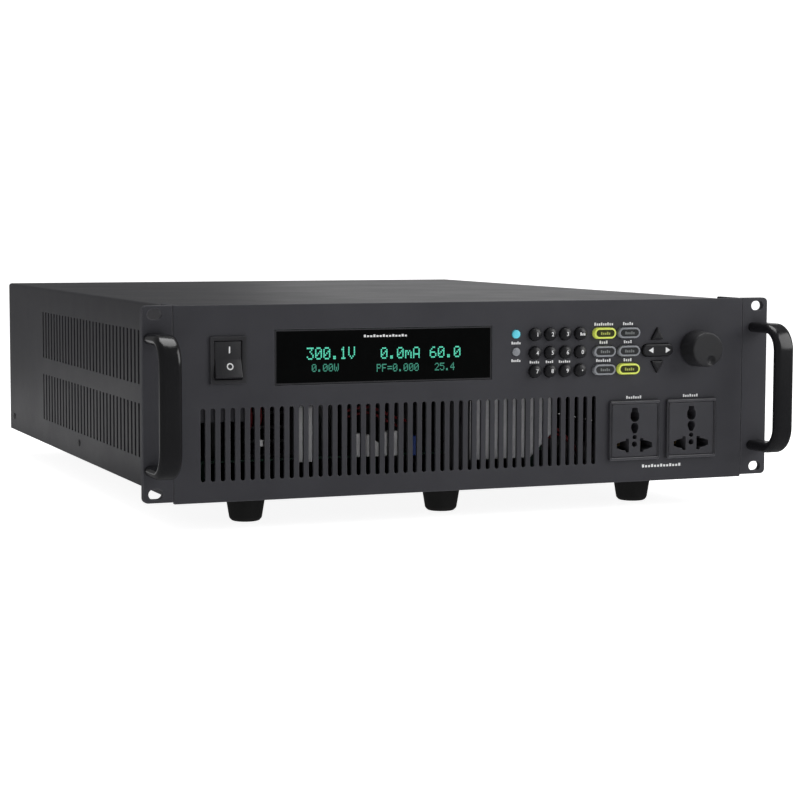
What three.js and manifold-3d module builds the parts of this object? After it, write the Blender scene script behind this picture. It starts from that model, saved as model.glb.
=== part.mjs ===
// Rack-mountable bench power supply, three units high, in millimetres, +Z up, front facing -Y.
// Pieces are laid out with y measured back from the front panel's face, x from the middle and z from the floor.
// The group is then moved forward, so that the origin lies on the floor at the centre of the overall box.
import * as THREE from "three";
import { mergeVertices } from "three/addons/utils/BufferGeometryUtils.js";
import Module from "manifold-3d";

const wasm = await Module();
wasm.setup();

// ---------------------------------------------------------------- driving dimensions
// Clearances
const fitGap = 0.3; // between fixed pieces
const runGap = 0.25; // around a piece that slides or rocks
const turnGap = 0.06; // around a turning shaft
const embed = 0.5; // how far joined shapes of one piece reach into each other
const overrun = 1; // how far a cutter reaches past the face it opens

// Rack standard
const rackPanelWidth = 482.6;
const rackPanelHeight = 132.5;
const rackHoleInsetX = 8.75; // hole centre to the ear's outer edge
const rackHoleInsetZ = 5.95; // hole centre to the ear's top or bottom edge
const rackSlotWidth = 10;
const rackSlotHeight = 7;

// Body of sheet steel
const bodyHeight = 131.7;
const bodyDepth = 544.5; // front panel's face to the rear panel's face
const coverSheet = 1.2;
const coverBend = 2.4;
const traySheet = 1.5;
const trayFlange = 18;
const trayFrontFlange = 11;
const rearSheet = 1.5;
const rearFlange = 12;

// Front panel and the rack ears
const plateThickness = 3;
const plateOverhang = 1; // above and below the body
const earReach = 24.9; // past the body's side
const earThickness = 5;
const earFlangeSheet = 2.8;
const earFlangeDepth = 32;
const earRise = 0.85; // the ears' middle above the body's middle
const earCorner = 3.5;

// Handles
const handleReach = 40.5;
const handleSpacing = 88.6; // leg to leg, centre to centre
const handleWidth = 15.4;
const handleGauge = 7.4;
const handleBend = 16;
const handleSteps = 30; // sections along the bar
const quarterPull = 0.4477; // a cubic curve's control point for a quarter circle, from the corner

// Feet
const footHeight = 21.3;
const footTopRadius = 15;
const footBottomRadius = 11.5;
const footEdge = 2;
const footScrewRadius = 3.4;
const footScrewDepth = 11;
const footSpanX = 154;
const footMiddleX = -4;
const footInsetY = 48; // from the front face, and from the rear face

// Front panel layout, up from the body's middle
const controlZ = 29.6;
const rowPitch = 13.2;

// Front vents
const ventZ = -27.7;
const ventInset = 20.3; // first slot to the panel's left edge
const ventPitch = 7.04;
const ventWidth = 3.4;
const ventHeight = 50;
const ventToOutlet = 8;

// Side vents, two rows on each side
const sideVentRowZ = 26.2;
const sideVentPitch = 10.2;
const sideVentFirstY = 60;
const sideVentRearMargin = 134;
const sideVentWidth = 4;
const sideVentHeight = 38.6;

// Display
const windowInset = 71.7; // its left edge to the panel's left edge
const windowWidth = 162.3;
const windowHeight = 37.6;
const windowRise = 0.9;
const windowSheet = 2.3;
const windowRecess = 0.5;
const windowGap = 0.5; // to the display glass behind it
const displayGlass = 4;
const displayMargin = 3;
const displayBoardRim = 5;

// Power switch
const switchInset = 37.9; // its middle to the panel's left edge
const switchFrameRim = 1.2; // past its opening in the panel
const switchProud = 1.6;
const switchDepth = 20;
const switchWall = 1.5;
const rockerWidth = 19;
const rockerRadius = 12.9; // tip to pivot
const rockerFace = 2.5; // pressed face to pivot
const rockerPivotY = 1.5;
const rockerThrow = 16; // degrees, from on to off
const rockerBack = 3.5;
const rockerHub = 4;

// Keys
const keyFlange = 0.7; // reach of the flange past the key
const keyFlangeSheet = 1.2;
const keyTravel = 1;
const keyRadius = 4.5;
const keyProud = 4.5;
const keyDome = 1.7;
const keyShoulder = 0.72; // of the radius, where the dome turns down
const keyShoulderDrop = 0.25; // of the dome's height
const keySpacing = 3.05;
const smallKeyRadius = 3;
const smallKeyProud = 1.4;
const smallKeyDome = 0.6;
const smallKeyRise = 0.5; // above the top row
const smallKeyPitch = 12.6;
const smallKeyToKeys = 7.1;
const keysToPills = 6.05;
const pillLength = 17.8;
const pillHeight = 7.8;
const pillProud = 3.2;
const pillSpacing = 2.1;
const pillsToRockKey = 2.7;
const rockKeyLength = 25;
const rockKeyHeight = 9;
const rockKeyProud = 2.6;
const rockKeySlack = 0.8; // room in front of and behind the rocking key's flange
const arrowInradius = 2.9; // of the triangle
const arrowProud = 2.4;
const arrowPitch = 24.7;
const boardSheet = 1.6;
const boardRim = 2;

// Knob and encoder
const rockKeyToKnob = 6.45;
const knobInset = 40.2; // its middle to the panel's right edge
const knobRise = 0.6;
const knobRadius = 13.25;
const knobProud = 19;
const knobGap = 1;
const knobTaper = 0.6;
const knobEdge = 1.4;
const knobHollow = 7;
const knobWall = 2.4;
const dimpleOffset = 8.4;
const dimpleAngle = -70; // degrees from the right
const dimpleSphere = 4.6;
const dimpleDepth = 1.5;
const shaftRadius = 3;
const shaftReach = 14;
const bushingWall = 1.6;
const bushingProud = 4;
const encoderSize = 14;
const encoderDepth = 8;

// Outlets
const outletMargin = 23.1; // the right bezel to the panel's right edge
const outletSpacing = 6.4; // between the bezels
const outletZ = -28.8;
const outletRimX = 1.6;
const outletRimZ = 2.4;
const outletProud = 3;
const outletWidth = 37.2;
const outletHeight = 38.4;
const outletSink = 0.7; // the insert's face behind the bezel's face
const outletDepth = 20;
const wellDepth = 17;
const earthWell = { width: 5.4, height: 9.4, x: 0, z: 10 }; // wells about the insert's middle
const middleWell = { width: 5.2, height: 6.6, x: 0, z: -0.6 };
const sideWell = { width: 8.6, height: 6.4, x: 8.3, z: -7.8 };

// Fans
const fanRightX = 150;
const fanSpacing = 12; // between the housings
const fanRise = 4;
const fanSize = 80;
const fanDepth = 25;
const fanBore = 37.5;
const fanHub = 17;
const fanBladeGap = 3; // the blades' tips to the bore
const fanBladeCount = 7;
const fanBladeChord = 20;
const fanBladePitch = 38; // degrees
const fanBladeSheet = 1.6;
const fanMotorSheet = 3;
const fanMotorGap = 1;
const fanSpindle = 2;
const fanStruts = 3;
const guardSlotWidth = 4;
const guardSlotPitch = 7.4;
const guardMargin = 2;

// Rear connections
const inletX = -176;
const inletZ = -30;
const inletWidth = 32;
const inletHeight = 24;
const inletFlange = 4;
const inletProud = 2;
const inletDepth = 30;
const inletCavity = 17;
const inletWall = 2;
const inletPinWidth = 2;
const inletPinHeight = 6;
const inletPinSpacing = 7;
const inletPinStagger = 2;
const terminalX = -92;
const terminalZ = -30;
const terminalBays = 4;
const terminalBayWidth = 10;
const terminalBarrier = 2.4;
const terminalHeight = 28;
const terminalReach = 15; // out of the rear panel
const terminalBayDepth = 9;
const portX = -118;
const portZ = 26;
const portBlockWidth = 70;
const portBlockHeight = 15;
const portProud = 1;
const portDepth = 14;
const portSocketWidth = 9;
const portSocketHeight = 8;
const portSocketDepth = 10;
const portBoardDepth = 60;

// Inside
const mainBoardRise = 23.7; // its top above the body's bottom
const mainBoardFrontY = 30;
const mainBoardRearMargin = 60;
const mainBoardX = [-195, 70];
const standoffRadius = 3.5;
const heatsinkX = -121.5;
const heatsinkBase = 6;
const heatsinkFin = 34;
const heatsinkFinSheet = 2;
const heatsinkFinCount = 8;
const heatsinkHeight = 72;
const heatsinkFrontY = 40;
const heatsinkRearMargin = 150;
const transformerX = 130;
const coreWidth = 96;
const coreDepth = 62;
const coreHeight = 84;
const coreLimb = 36;
const coreWindowWidth = 15;
const coreWindowHeight = 50;
const coilWall = 12;
const coilBulge = 13;
const shelfX = [-13, 68];
const shelfY = 12;
const shelfSheet = 1.5;
const shelfHeight = 47;
const shelfSlope = 17;
const shelfDepth = 60;

// Sides of the round pieces
const keySides = 12;
const footSides = 14;
const roundSides = 16;
const boreSides = 24;
const knobSides = 28;
const postSides = 8;

// ---------------------------------------------------------------- worked out from them
const bodyWidth = rackPanelWidth - 2 * earReach;
const plateWidth = bodyWidth + 2 * (fitGap + earFlangeSheet + fitGap);
const plateHeight = bodyHeight + 2 * plateOverhang;
const leftX = -plateWidth / 2;
const rightX = plateWidth / 2;
const baseZ = footHeight;
const middleZ = baseZ + bodyHeight / 2;
const topZ = baseZ + bodyHeight;
const earZ = middleZ + earRise;
const behindPlateY = plateThickness + fitGap;
const insideHalfX = bodyWidth / 2 - coverSheet - fitGap; // the tray's and the rear panel's half width
const rearInnerY = bodyDepth - rearSheet - fitGap;
const originY = (bodyDepth + terminalReach - handleReach) / 2;

const switchX = leftX + switchInset;
const rockerWellWidth = rockerWidth + 2 * runGap;
const rockerWellHeight = 2 * (rockerRadius + runGap);
const switchBodyWidth = rockerWellWidth + 2 * switchWall;
const switchBodyHeight = rockerWellHeight + 2 * switchWall;
const windowX = leftX + windowInset + windowWidth / 2;

const knobX = rightX - knobInset;
const knobZ = controlZ + knobRise;
const bushingRadius = shaftRadius + turnGap + bushingWall;
const arrowX = knobX - knobRadius - rockKeyToKnob - rockKeyLength / 2;
const pillPitch = pillLength + pillSpacing;
const pillFirstX = arrowX - rockKeyLength / 2 - pillsToRockKey - pillLength / 2 - pillPitch;
const keyPitch = 2 * keyRadius + keySpacing;
const keyFirstX = pillFirstX - pillLength / 2 - keysToPills - keyRadius - 3 * keyPitch;
const smallKeyX = keyFirstX - keyRadius - smallKeyToKeys - smallKeyRadius;
const rockFlangeY = plateThickness + rockKeySlack;
const slideRoomY = behindPlateY + keyFlangeSheet + keyTravel + fitGap;
const rockRoomY = rockFlangeY + keyFlangeSheet + rockKeySlack;
const keyboardY = Math.max(slideRoomY, rockRoomY);
const outletCutWidth = outletWidth + 2 * fitGap;
const outletCutHeight = outletHeight + 2 * fitGap;
const outletBezelWidth = outletCutWidth + 2 * outletRimX;
const outletBezelHeight = outletCutHeight + 2 * outletRimZ;
const outletRightX = rightX - outletMargin - outletBezelWidth / 2;
const outletX = [outletRightX - outletSpacing - outletBezelWidth, outletRightX];
const fanX = [fanRightX - fanSize - fanSpacing, fanRightX];
const fanBladeTip = fanBore - fanBladeGap;
const ventFirstX = leftX + ventInset;
const ventSpace = outletX[0] - outletBezelWidth / 2 - ventToOutlet - ventFirstX;
const ventCount = Math.floor(ventSpace / ventPitch) + 1;
const sideVentSpace = bodyDepth - sideVentRearMargin - sideVentFirstY;
const sideVentCount = Math.floor(sideVentSpace / sideVentPitch) + 1;
const rowZ = (row) => controlZ + (1 - row) * rowPitch;
const radians = (degrees) => (degrees * Math.PI) / 180;

// ---------------------------------------------------------------- shapes and solids
// A solid for cutting and joining, from a closed three.js geometry.
function solid(geometry) {
  const bare = geometry.clone();
  bare.deleteAttribute("normal");
  bare.deleteAttribute("uv");
  const merged = mergeVertices(bare, 1e-4);
  const vertProperties = merged.attributes.position.array;
  const triVerts = new Uint32Array(merged.index.array);
  return new wasm.Manifold(new wasm.Mesh({ numProp: 3, vertProperties, triVerts }));
}

function geometryOf(made) {
  const mesh = made.getMesh();
  const geometry = new THREE.BufferGeometry();
  geometry.setAttribute("position", new THREE.BufferAttribute(mesh.vertProperties, 3));
  geometry.setIndex(new THREE.BufferAttribute(mesh.triVerts, 1));
  const flat = geometry.toNonIndexed();
  flat.computeVertexNormals();
  return flat;
}

function joined(...geometries) {
  return geometryOf(geometries.map(solid).reduce((sum, next) => sum.add(next)));
}

function cut(from, ...tools) {
  return geometryOf(tools.map(solid).reduce((left, tool) => left.subtract(tool), solid(from)));
}

// A box from its low and high corners.
function block(x0, x1, y0, y1, z0, z1) {
  const box = new THREE.BoxGeometry(x1 - x0, y1 - y0, z1 - z0);
  return box.translate((x0 + x1) / 2, (y0 + y1) / 2, (z0 + z1) / 2);
}

// A box about a middle in x and z, from y0 to y1.
function bar(width, height, y0, y1, x = 0, z = 0) {
  return block(x - width / 2, x + width / 2, y0, y1, z - height / 2, z + height / 2);
}

// Outlines drawn in the front view (x, z), given depth from y0 to y1.
function frontPlate(shapes, y0, y1, curveSegments = 2) {
  const settings = { depth: y1 - y0, bevelEnabled: false, curveSegments };
  return new THREE.ExtrudeGeometry(shapes, settings).rotateX(Math.PI / 2).translate(0, y1, 0);
}

// The same with openings cut right through.
function piercedPlate(shape, openings, y0, y1, curveSegments = 2) {
  const plate = frontPlate(shape, y0, y1, curveSegments);
  return cut(plate, frontPlate(openings, y0 - overrun, y1 + overrun, curveSegments));
}

// Outlines drawn in the side view (y, z), given width from x0 to x1.
function sidePlate(shapes, x0, x1) {
  const settings = { depth: x1 - x0, bevelEnabled: false };
  const turn = new THREE.Matrix4().set(0, 0, 1, x0, 1, 0, 0, 0, 0, 1, 0, 0, 0, 0, 0, 1);
  return new THREE.ExtrudeGeometry(shapes, settings).applyMatrix4(turn);
}

function polygon(points) {
  return new THREE.Shape(points.map(([u, v]) => new THREE.Vector2(u, v)));
}

function rectangle(width, height, u = 0, v = 0) {
  const [a, b] = [width / 2, height / 2];
  return polygon([[u - a, v - b], [u + a, v - b], [u + a, v + b], [u - a, v + b]]);
}

// A regular polygon inside a circle: a disc with 16 sides or more, a triangle with 3.
function regular(radius, u, v, sides, start = 0) {
  const corner = (i) => {
    const angle = start + (2 * Math.PI * i) / sides;
    return [u + radius * Math.cos(angle), v + radius * Math.sin(angle)];
  };
  return polygon(Array.from({ length: sides }, (_, i) => corner(i)));
}

function disc(radius, u = 0, v = 0, sides = roundSides) {
  return regular(radius, u, v, sides);
}

// An equilateral triangle about the centre of its inscribed circle.
function triangle(inradius, pointsUp, u = 0, v = 0) {
  return regular(2 * inradius, u, v, 3, pointsUp ? Math.PI / 2 : -Math.PI / 2);
}

// A slot with round ends, standing upright.
function uprightSlot(width, height, u, v) {
  const [r, b] = [width / 2, height / 2];
  const shape = new THREE.Shape();
  shape.absarc(u, v + b - r, r, 0, Math.PI);
  shape.absarc(u, v - b + r, r, Math.PI, 2 * Math.PI);
  return shape;
}

// The same slot lying down.
function levelSlot(width, height, u = 0, v = 0) {
  const [r, a] = [height / 2, width / 2];
  const shape = new THREE.Shape();
  shape.absarc(u + a - r, v, r, -Math.PI / 2, Math.PI / 2);
  shape.absarc(u - a + r, v, r, Math.PI / 2, 1.5 * Math.PI);
  return shape;
}

// A profile of (radius, y) pairs turned round the y axis, from its low end to its high end.
function turned(profile, sides) {
  return new THREE.LatheGeometry(profile.map(([r, y]) => new THREE.Vector2(r, y)), sides);
}

function rod(radius, y0, y1, sides = roundSides) {
  return turned([[0, y0], [radius, y0], [radius, y1], [0, y1]], sides);
}

// ---------------------------------------------------------------- materials
function material(color, roughness, metalness) {
  return new THREE.MeshStandardMaterial({ color, roughness, metalness });
}
const paintedSteel = material(0x3a3b3f, 0.6, 0.3);
const panelPaint = material(0x3d3e43, 0.55, 0.2);
const handleMetal = material(0x15161a, 0.3, 0.6);
const blackPlastic = material(0x1b1b1e, 0.55, 0);
const rubber = material(0x101012, 0.8, 0);
const keyRubber = material(0x1a1a1d, 0.6, 0);
const greyLens = material(0x8a8f96, 0.4, 0);
const limeLens = material(0xd4e02a, 0.4, 0);
const cyanLens = material(0x4cc9dd, 0.4, 0);
const windowBlack = material(0x030404, 0.1, 0);
const circuitGreen = material(0x16452f, 0.6, 0);
const bareAluminium = material(0xb9bcc0, 0.35, 0.9);
const coreIron = material(0x4a4642, 0.6, 0.6);

// ---------------------------------------------------------------- the assembly
const group = new THREE.Group();
group.position.set(0, -originY, 0);

function add(name, geometry, paint, x = 0, y = 0, z = 0) {
  const mesh = new THREE.Mesh(geometry, paint);
  mesh.name = name;
  mesh.position.set(x, y, z);
  group.add(mesh);
  return mesh;
}

// Key places, shared by the keys and by the panel's openings: rows from the top, columns from the left.
const numberKeys = [
  ["key_1", "key_2", "key_3", "key_escape"],
  ["key_4", "key_5", "key_6", "key_0"],
  ["key_7", "key_8", "key_9", "key_point"],
].flatMap((names, row) => names.map((name, i) => ({ name, x: keyFirstX + i * keyPitch, z: rowZ(row) })));
const smallKeys = [
  { name: "key_shift", z: rowZ(0) + smallKeyRise, lens: cyanLens },
  { name: "key_local", z: rowZ(0) + smallKeyRise - smallKeyPitch, lens: greyLens },
];
const pillKeys = [
  { name: "key_volts", row: 0, column: 0, lens: limeLens },
  { name: "key_frequency", row: 0, column: 1, lens: greyLens },
  { name: "key_recall", row: 1, column: 0, lens: greyLens },
  { name: "key_select", row: 1, column: 1, lens: greyLens },
  { name: "key_enter", row: 2, column: 0, lens: greyLens },
  { name: "key_output", row: 2, column: 1, lens: limeLens },
].map((key) => ({ ...key, x: pillFirstX + key.column * pillPitch, z: rowZ(key.row) }));
const arrowKeys = [
  { name: "key_up", z: controlZ + arrowPitch / 2 - arrowInradius / 2, pointsUp: true },
  { name: "key_down", z: controlZ - arrowPitch / 2 + arrowInradius / 2, pointsUp: false },
];

// ---- sheet metal
// The tray is a shallow channel with an upright flange behind the front panel.
function addTray() {
  const [a, s] = [insideHalfX, traySheet];
  const outside = [[-a, trayFlange], [-a, 0], [a, 0], [a, trayFlange]];
  const inside = [[a - s, trayFlange], [a - s, s], [s - a, s], [s - a, trayFlange]];
  const channel = frontPlate(polygon([...outside, ...inside]), behindPlateY, rearInnerY);
  const frontFlange = block(-a, a, behindPlateY, behindPlateY + s, 0, trayFrontFlange);
  add("bottom_tray", joined(channel, frontFlange), paintedSteel, 0, 0, baseZ);
}

// The cover is a channel turned over. Its sides reach down to the tray's underside and back past the rear panel.
function addCover() {
  const halfX = bodyWidth / 2;
  const bendX = halfX - coverBend;
  const innerBend = coverBend - coverSheet;
  const shape = new THREE.Shape();
  shape.moveTo(halfX, -bodyHeight);
  shape.lineTo(halfX, -coverBend);
  shape.absarc(bendX, -coverBend, coverBend, 0, Math.PI / 2);
  shape.absarc(-bendX, -coverBend, coverBend, Math.PI / 2, Math.PI);
  shape.lineTo(-halfX, -bodyHeight);
  shape.lineTo(coverSheet - halfX, -bodyHeight);
  shape.absarc(-bendX, -coverBend, innerBend, Math.PI, Math.PI / 2, true);
  shape.absarc(bendX, -coverBend, innerBend, Math.PI / 2, 0, true);
  shape.lineTo(halfX - coverSheet, -bodyHeight);
  const channel = frontPlate(shape, behindPlateY, bodyDepth);
  const slots = [];
  for (let i = 0; i < sideVentCount; i++) {
    const y = sideVentFirstY + i * sideVentPitch;
    for (const row of [-1, 1]) {
      slots.push(rectangle(sideVentWidth, sideVentHeight, y, row * sideVentRowZ - bodyHeight / 2));
    }
  }
  const cutters = sidePlate(slots, -halfX - overrun, halfX + overrun);
  add("top_cover", cut(channel, cutters), paintedSteel, 0, 0, topZ);
}

// Each opening follows the piece that goes through it.
function addFrontPanel() {
  const openings = [];
  numberKeys.forEach((key) => openings.push(disc(keyRadius + runGap, key.x, key.z)));
  smallKeys.forEach((key) => openings.push(disc(smallKeyRadius + runGap, smallKeyX, key.z)));
  pillKeys.forEach((key) => {
    openings.push(levelSlot(pillLength + 2 * runGap, pillHeight + 2 * runGap, key.x, key.z));
  });
  const rockGap = 2 * runGap; // the rocking key swings sideways as it tilts
  openings.push(levelSlot(rockKeyLength + 2 * rockGap, rockKeyHeight + 2 * runGap, arrowX, controlZ));
  arrowKeys.forEach((key) => openings.push(triangle(arrowInradius + runGap, key.pointsUp, arrowX, key.z)));
  openings.push(disc(bushingRadius + fitGap, knobX, knobZ));
  openings.push(rectangle(windowWidth + 2 * fitGap, windowHeight + 2 * fitGap, windowX, controlZ + windowRise));
  openings.push(rectangle(switchBodyWidth + 2 * fitGap, switchBodyHeight + 2 * fitGap, switchX, controlZ));
  outletX.forEach((x) => openings.push(rectangle(outletCutWidth, outletCutHeight, x, outletZ)));
  const vents = Array.from({ length: ventCount }, (_, i) => {
    return uprightSlot(ventWidth, ventHeight, ventFirstX + i * ventPitch, ventZ);
  });
  const plate = piercedPlate(rectangle(plateWidth, plateHeight), openings, 0, plateThickness);
  const vented = cut(plate, frontPlate(vents, -overrun, plateThickness + overrun, 1));
  add("front_panel", vented, panelPaint, 0, 0, middleZ);
}

// A fan guard is a row of slots, each as long as the fan's bore is high there.
function guardSlots(fanMiddleX) {
  const radius = fanBore - guardMargin;
  const reach = Math.floor((radius - guardSlotWidth) / guardSlotPitch);
  return Array.from({ length: 2 * reach + 1 }, (_, i) => {
    const offset = (i - reach) * guardSlotPitch;
    const length = 2 * Math.sqrt(radius ** 2 - offset ** 2);
    return uprightSlot(guardSlotWidth, length, fanMiddleX + offset, fanRise);
  });
}

// The rear panel closes the tray and the cover, with a flange folded forward along its top and above its foot.
function addRearPanel() {
  const low = -bodyHeight / 2;
  const high = bodyHeight / 2 - coverSheet - fitGap;
  const a = insideHalfX;
  const corner = coverBend - coverSheet; // cut off to clear the cover's bends
  const plate = polygon([[-a, low], [a, low], [a, high - corner], [a - corner, high], [corner - a, high], [-a, high - corner]]);
  const openings = fanX.flatMap(guardSlots);
  openings.push(rectangle(inletWidth + 2 * fitGap, inletHeight + 2 * fitGap, inletX, inletZ));
  openings.push(rectangle(portBlockWidth + 2 * fitGap, portBlockHeight + 2 * fitGap, portX, portZ));
  const sheet = piercedPlate(plate, openings, -rearSheet, 0, 1);
  const flangeHalfX = insideHalfX - traySheet - fitGap;
  const flangeAt = (z) => block(-flangeHalfX, flangeHalfX, -rearFlange, -rearSheet / 2, z, z + rearSheet);
  const rear = joined(sheet, flangeAt(low + traySheet + fitGap), flangeAt(high - rearSheet));
  add("rear_panel", rear, paintedSteel, 0, bodyDepth, middleZ);
}

// An ear is an angle bracket, rebated behind the front panel's edge so that both faces are flush.
function earGeometry() {
  const seamX = rightX + fitGap;
  const outerX = rackPanelWidth / 2;
  const flangeX = bodyWidth / 2 + fitGap;
  const b = rackPanelHeight / 2;
  const outline = new THREE.Shape();
  outline.moveTo(seamX, -b);
  outline.lineTo(outerX - earCorner, -b);
  outline.absarc(outerX - earCorner, -b + earCorner, earCorner, -Math.PI / 2, 0);
  outline.absarc(outerX - earCorner, b - earCorner, earCorner, 0, Math.PI / 2);
  outline.lineTo(seamX, b);
  const holeZ = b - rackHoleInsetZ;
  const slots = [-holeZ, holeZ].map((z) => levelSlot(rackSlotWidth, rackSlotHeight, outerX - rackHoleInsetX, z));
  const front = piercedPlate(outline, slots, 0, earThickness);
  const web = block(flangeX, seamX + embed, behindPlateY, earThickness, -b, b);
  const flange = block(flangeX, flangeX + earFlangeSheet, behindPlateY, earFlangeDepth, -b, b);
  return joined(front, web, flange);
}

function addEars() {
  for (const [name, side] of [["rack_ear_left", -1], ["rack_ear_right", 1]]) {
    add(name, earGeometry(), panelPaint, 0, 0, earZ).scale.x = side;
  }
}

// A handle is one bar of flat oval section, bent twice.
function addHandles() {
  const legZ = handleSpacing / 2;
  const gripY = handleGauge / 2 - handleReach;
  const legEndY = gripY + handleBend;
  const gripEndZ = legZ - handleBend;
  const pull = handleBend * quarterPull;
  const at = (y, z) => new THREE.Vector3(0, y, z);
  const bend = (...points) => new THREE.CubicBezierCurve3(...points);
  const path = new THREE.CurvePath();
  path.add(new THREE.LineCurve3(at(-fitGap, -legZ), at(legEndY, -legZ)));
  path.add(bend(at(legEndY, -legZ), at(gripY + pull, -legZ), at(gripY, pull - legZ), at(gripY, -gripEndZ)));
  path.add(new THREE.LineCurve3(at(gripY, -gripEndZ), at(gripY, gripEndZ)));
  path.add(bend(at(gripY, gripEndZ), at(gripY, legZ - pull), at(gripY + pull, legZ), at(legEndY, legZ)));
  path.add(new THREE.LineCurve3(at(legEndY, legZ), at(-fitGap, legZ)));
  const section = uprightSlot(handleGauge, handleWidth, 0, 0);
  const grip = new THREE.ExtrudeGeometry(section, { steps: handleSteps, extrudePath: path, curveSegments: 2 });
  const handleX = rackPanelWidth / 2 - rackHoleInsetX;
  add("handle_left", grip, handleMetal, -handleX, 0, earZ);
  add("handle_right", grip, handleMetal, handleX, 0, earZ);
}

function addFeet() {
  const top = footHeight - fitGap;
  const profile = [
    [0, footScrewDepth], [footScrewRadius, footScrewDepth], [footScrewRadius, 0],
    [footBottomRadius - footEdge, 0], [footBottomRadius, footEdge], [footTopRadius, top], [0, top],
  ];
  const foot = turned(profile, footSides).rotateX(Math.PI / 2);
  const rows = [["front", footInsetY], ["rear", bodyDepth - footInsetY]];
  const columns = [["left", -footSpanX], ["middle", footMiddleX], ["right", footSpanX]];
  for (const [row, y] of rows) {
    for (const [column, x] of columns) {
      add(`foot_${row}_${column}`, foot, rubber, x, y, 0);
    }
  }
}

// ---- display
function addDisplay() {
  const z = middleZ + controlZ + windowRise;
  const lens = bar(windowWidth, windowHeight, windowRecess, windowRecess + windowSheet);
  add("display_window", lens, windowBlack, windowX, 0, z);
  const glassY = windowRecess + windowSheet + windowGap;
  const boardY = behindPlateY + displayGlass;
  const glass = bar(windowWidth - 2 * displayMargin, windowHeight - 2 * displayMargin, glassY, boardY + embed);
  const rim = 2 * displayBoardRim;
  const board = bar(windowWidth + rim, windowHeight + rim, boardY, boardY + boardSheet);
  add("display_module", joined(glass, board), circuitGreen, windowX, 0, z);
}

// ---- power switch
function addPowerSwitch() {
  const z = middleZ + controlZ;
  const rim = 2 * (fitGap + switchFrameRim);
  const frame = bar(switchBodyWidth + rim, switchBodyHeight + rim, -switchProud, -fitGap);
  const housing = bar(switchBodyWidth, switchBodyHeight, -fitGap - embed, switchDepth);
  const wellBackY = rockerPivotY + rockerBack + rockerHub;
  const well = bar(rockerWellWidth, rockerWellHeight, -switchProud - overrun, wellBackY);
  add("power_switch_body", cut(joined(frame, housing), well), blackPlastic, switchX, 0, z);

  // The rocker's side view about its pivot, at half throw: each face comes level with the panel when pressed.
  const half = radians(rockerThrow / 2);
  const tip = Math.acos(rockerFace / rockerRadius) - half;
  const heel = Math.PI / 2 + half;
  const arcPoint = (angle) => [-rockerRadius * Math.cos(angle), rockerRadius * Math.sin(angle)];
  const upper = [arcPoint(tip), arcPoint((tip + heel) / 2), arcPoint(heel), [rockerBack, rockerHub]];
  const lower = [...upper].reverse().map(([y, v]) => [y, -v]);
  const ridge = [-rockerFace / Math.cos(half), 0];
  const rocker = sidePlate(polygon([ridge, ...upper, ...lower]), -rockerWidth / 2, rockerWidth / 2);
  add("power_rocker", rocker, blackPlastic, switchX, rockerPivotY, z).rotation.x = -half;
}

// ---- keys: a cap through the panel, and a flange behind it that keeps the cap in
function roundKey(radius, proud, dome) {
  const flangeBack = behindPlateY + keyFlangeSheet;
  const profile = [
    [0, -proud], [keyShoulder * radius, keyShoulderDrop * dome - proud], [radius, dome - proud], [radius, behindPlateY],
    [radius + keyFlange, behindPlateY], [radius + keyFlange, flangeBack], [0, flangeBack],
  ];
  return turned(profile, keySides);
}

function shapedKey(outline, proud, flangeY) {
  const flangeBack = flangeY + keyFlangeSheet;
  return joined(frontPlate(outline(0), -proud, flangeBack), frontPlate(outline(keyFlange), flangeY, flangeBack));
}

function addKeys() {
  const key = roundKey(keyRadius, keyProud, keyDome);
  numberKeys.forEach(({ name, x, z }) => add(name, key, keyRubber, x, 0, middleZ + z));
  const smallKey = roundKey(smallKeyRadius, smallKeyProud, smallKeyDome);
  smallKeys.forEach(({ name, z, lens }) => add(name, smallKey, lens, smallKeyX, 0, middleZ + z));
  const pill = shapedKey((rim) => levelSlot(pillLength + 2 * rim, pillHeight + 2 * rim), pillProud, behindPlateY);
  pillKeys.forEach(({ name, x, z, lens }) => add(name, pill, lens, x, 0, middleZ + z));
  arrowKeys.forEach(({ name, z, pointsUp }) => {
    const arrow = shapedKey((rim) => triangle(arrowInradius + rim, pointsUp), arrowProud, behindPlateY);
    add(name, arrow, keyRubber, arrowX, 0, middleZ + z);
  });
  const rockOutline = (rim) => levelSlot(rockKeyLength + 2 * rim, rockKeyHeight + 2 * rim);
  const rockKey = shapedKey(rockOutline, rockKeyProud, rockFlangeY);
  add("key_left_right", rockKey, keyRubber, arrowX, 0, middleZ + controlZ);
}

function addKeypadBoard() {
  const rim = keyFlange + boardRim;
  const x0 = smallKeyX - smallKeyRadius - rim;
  const x1 = arrowX + rockKeyLength / 2 + rim;
  const reaches = [rowPitch + keyRadius, rowPitch + pillHeight / 2, arrowPitch / 2 + arrowInradius];
  const halfZ = Math.max(...reaches) + rim;
  const board = block(x0, x1, keyboardY, keyboardY + boardSheet, -halfZ, halfZ);
  add("keypad_board", board, circuitGreen, 0, 0, middleZ + controlZ);
}

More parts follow.
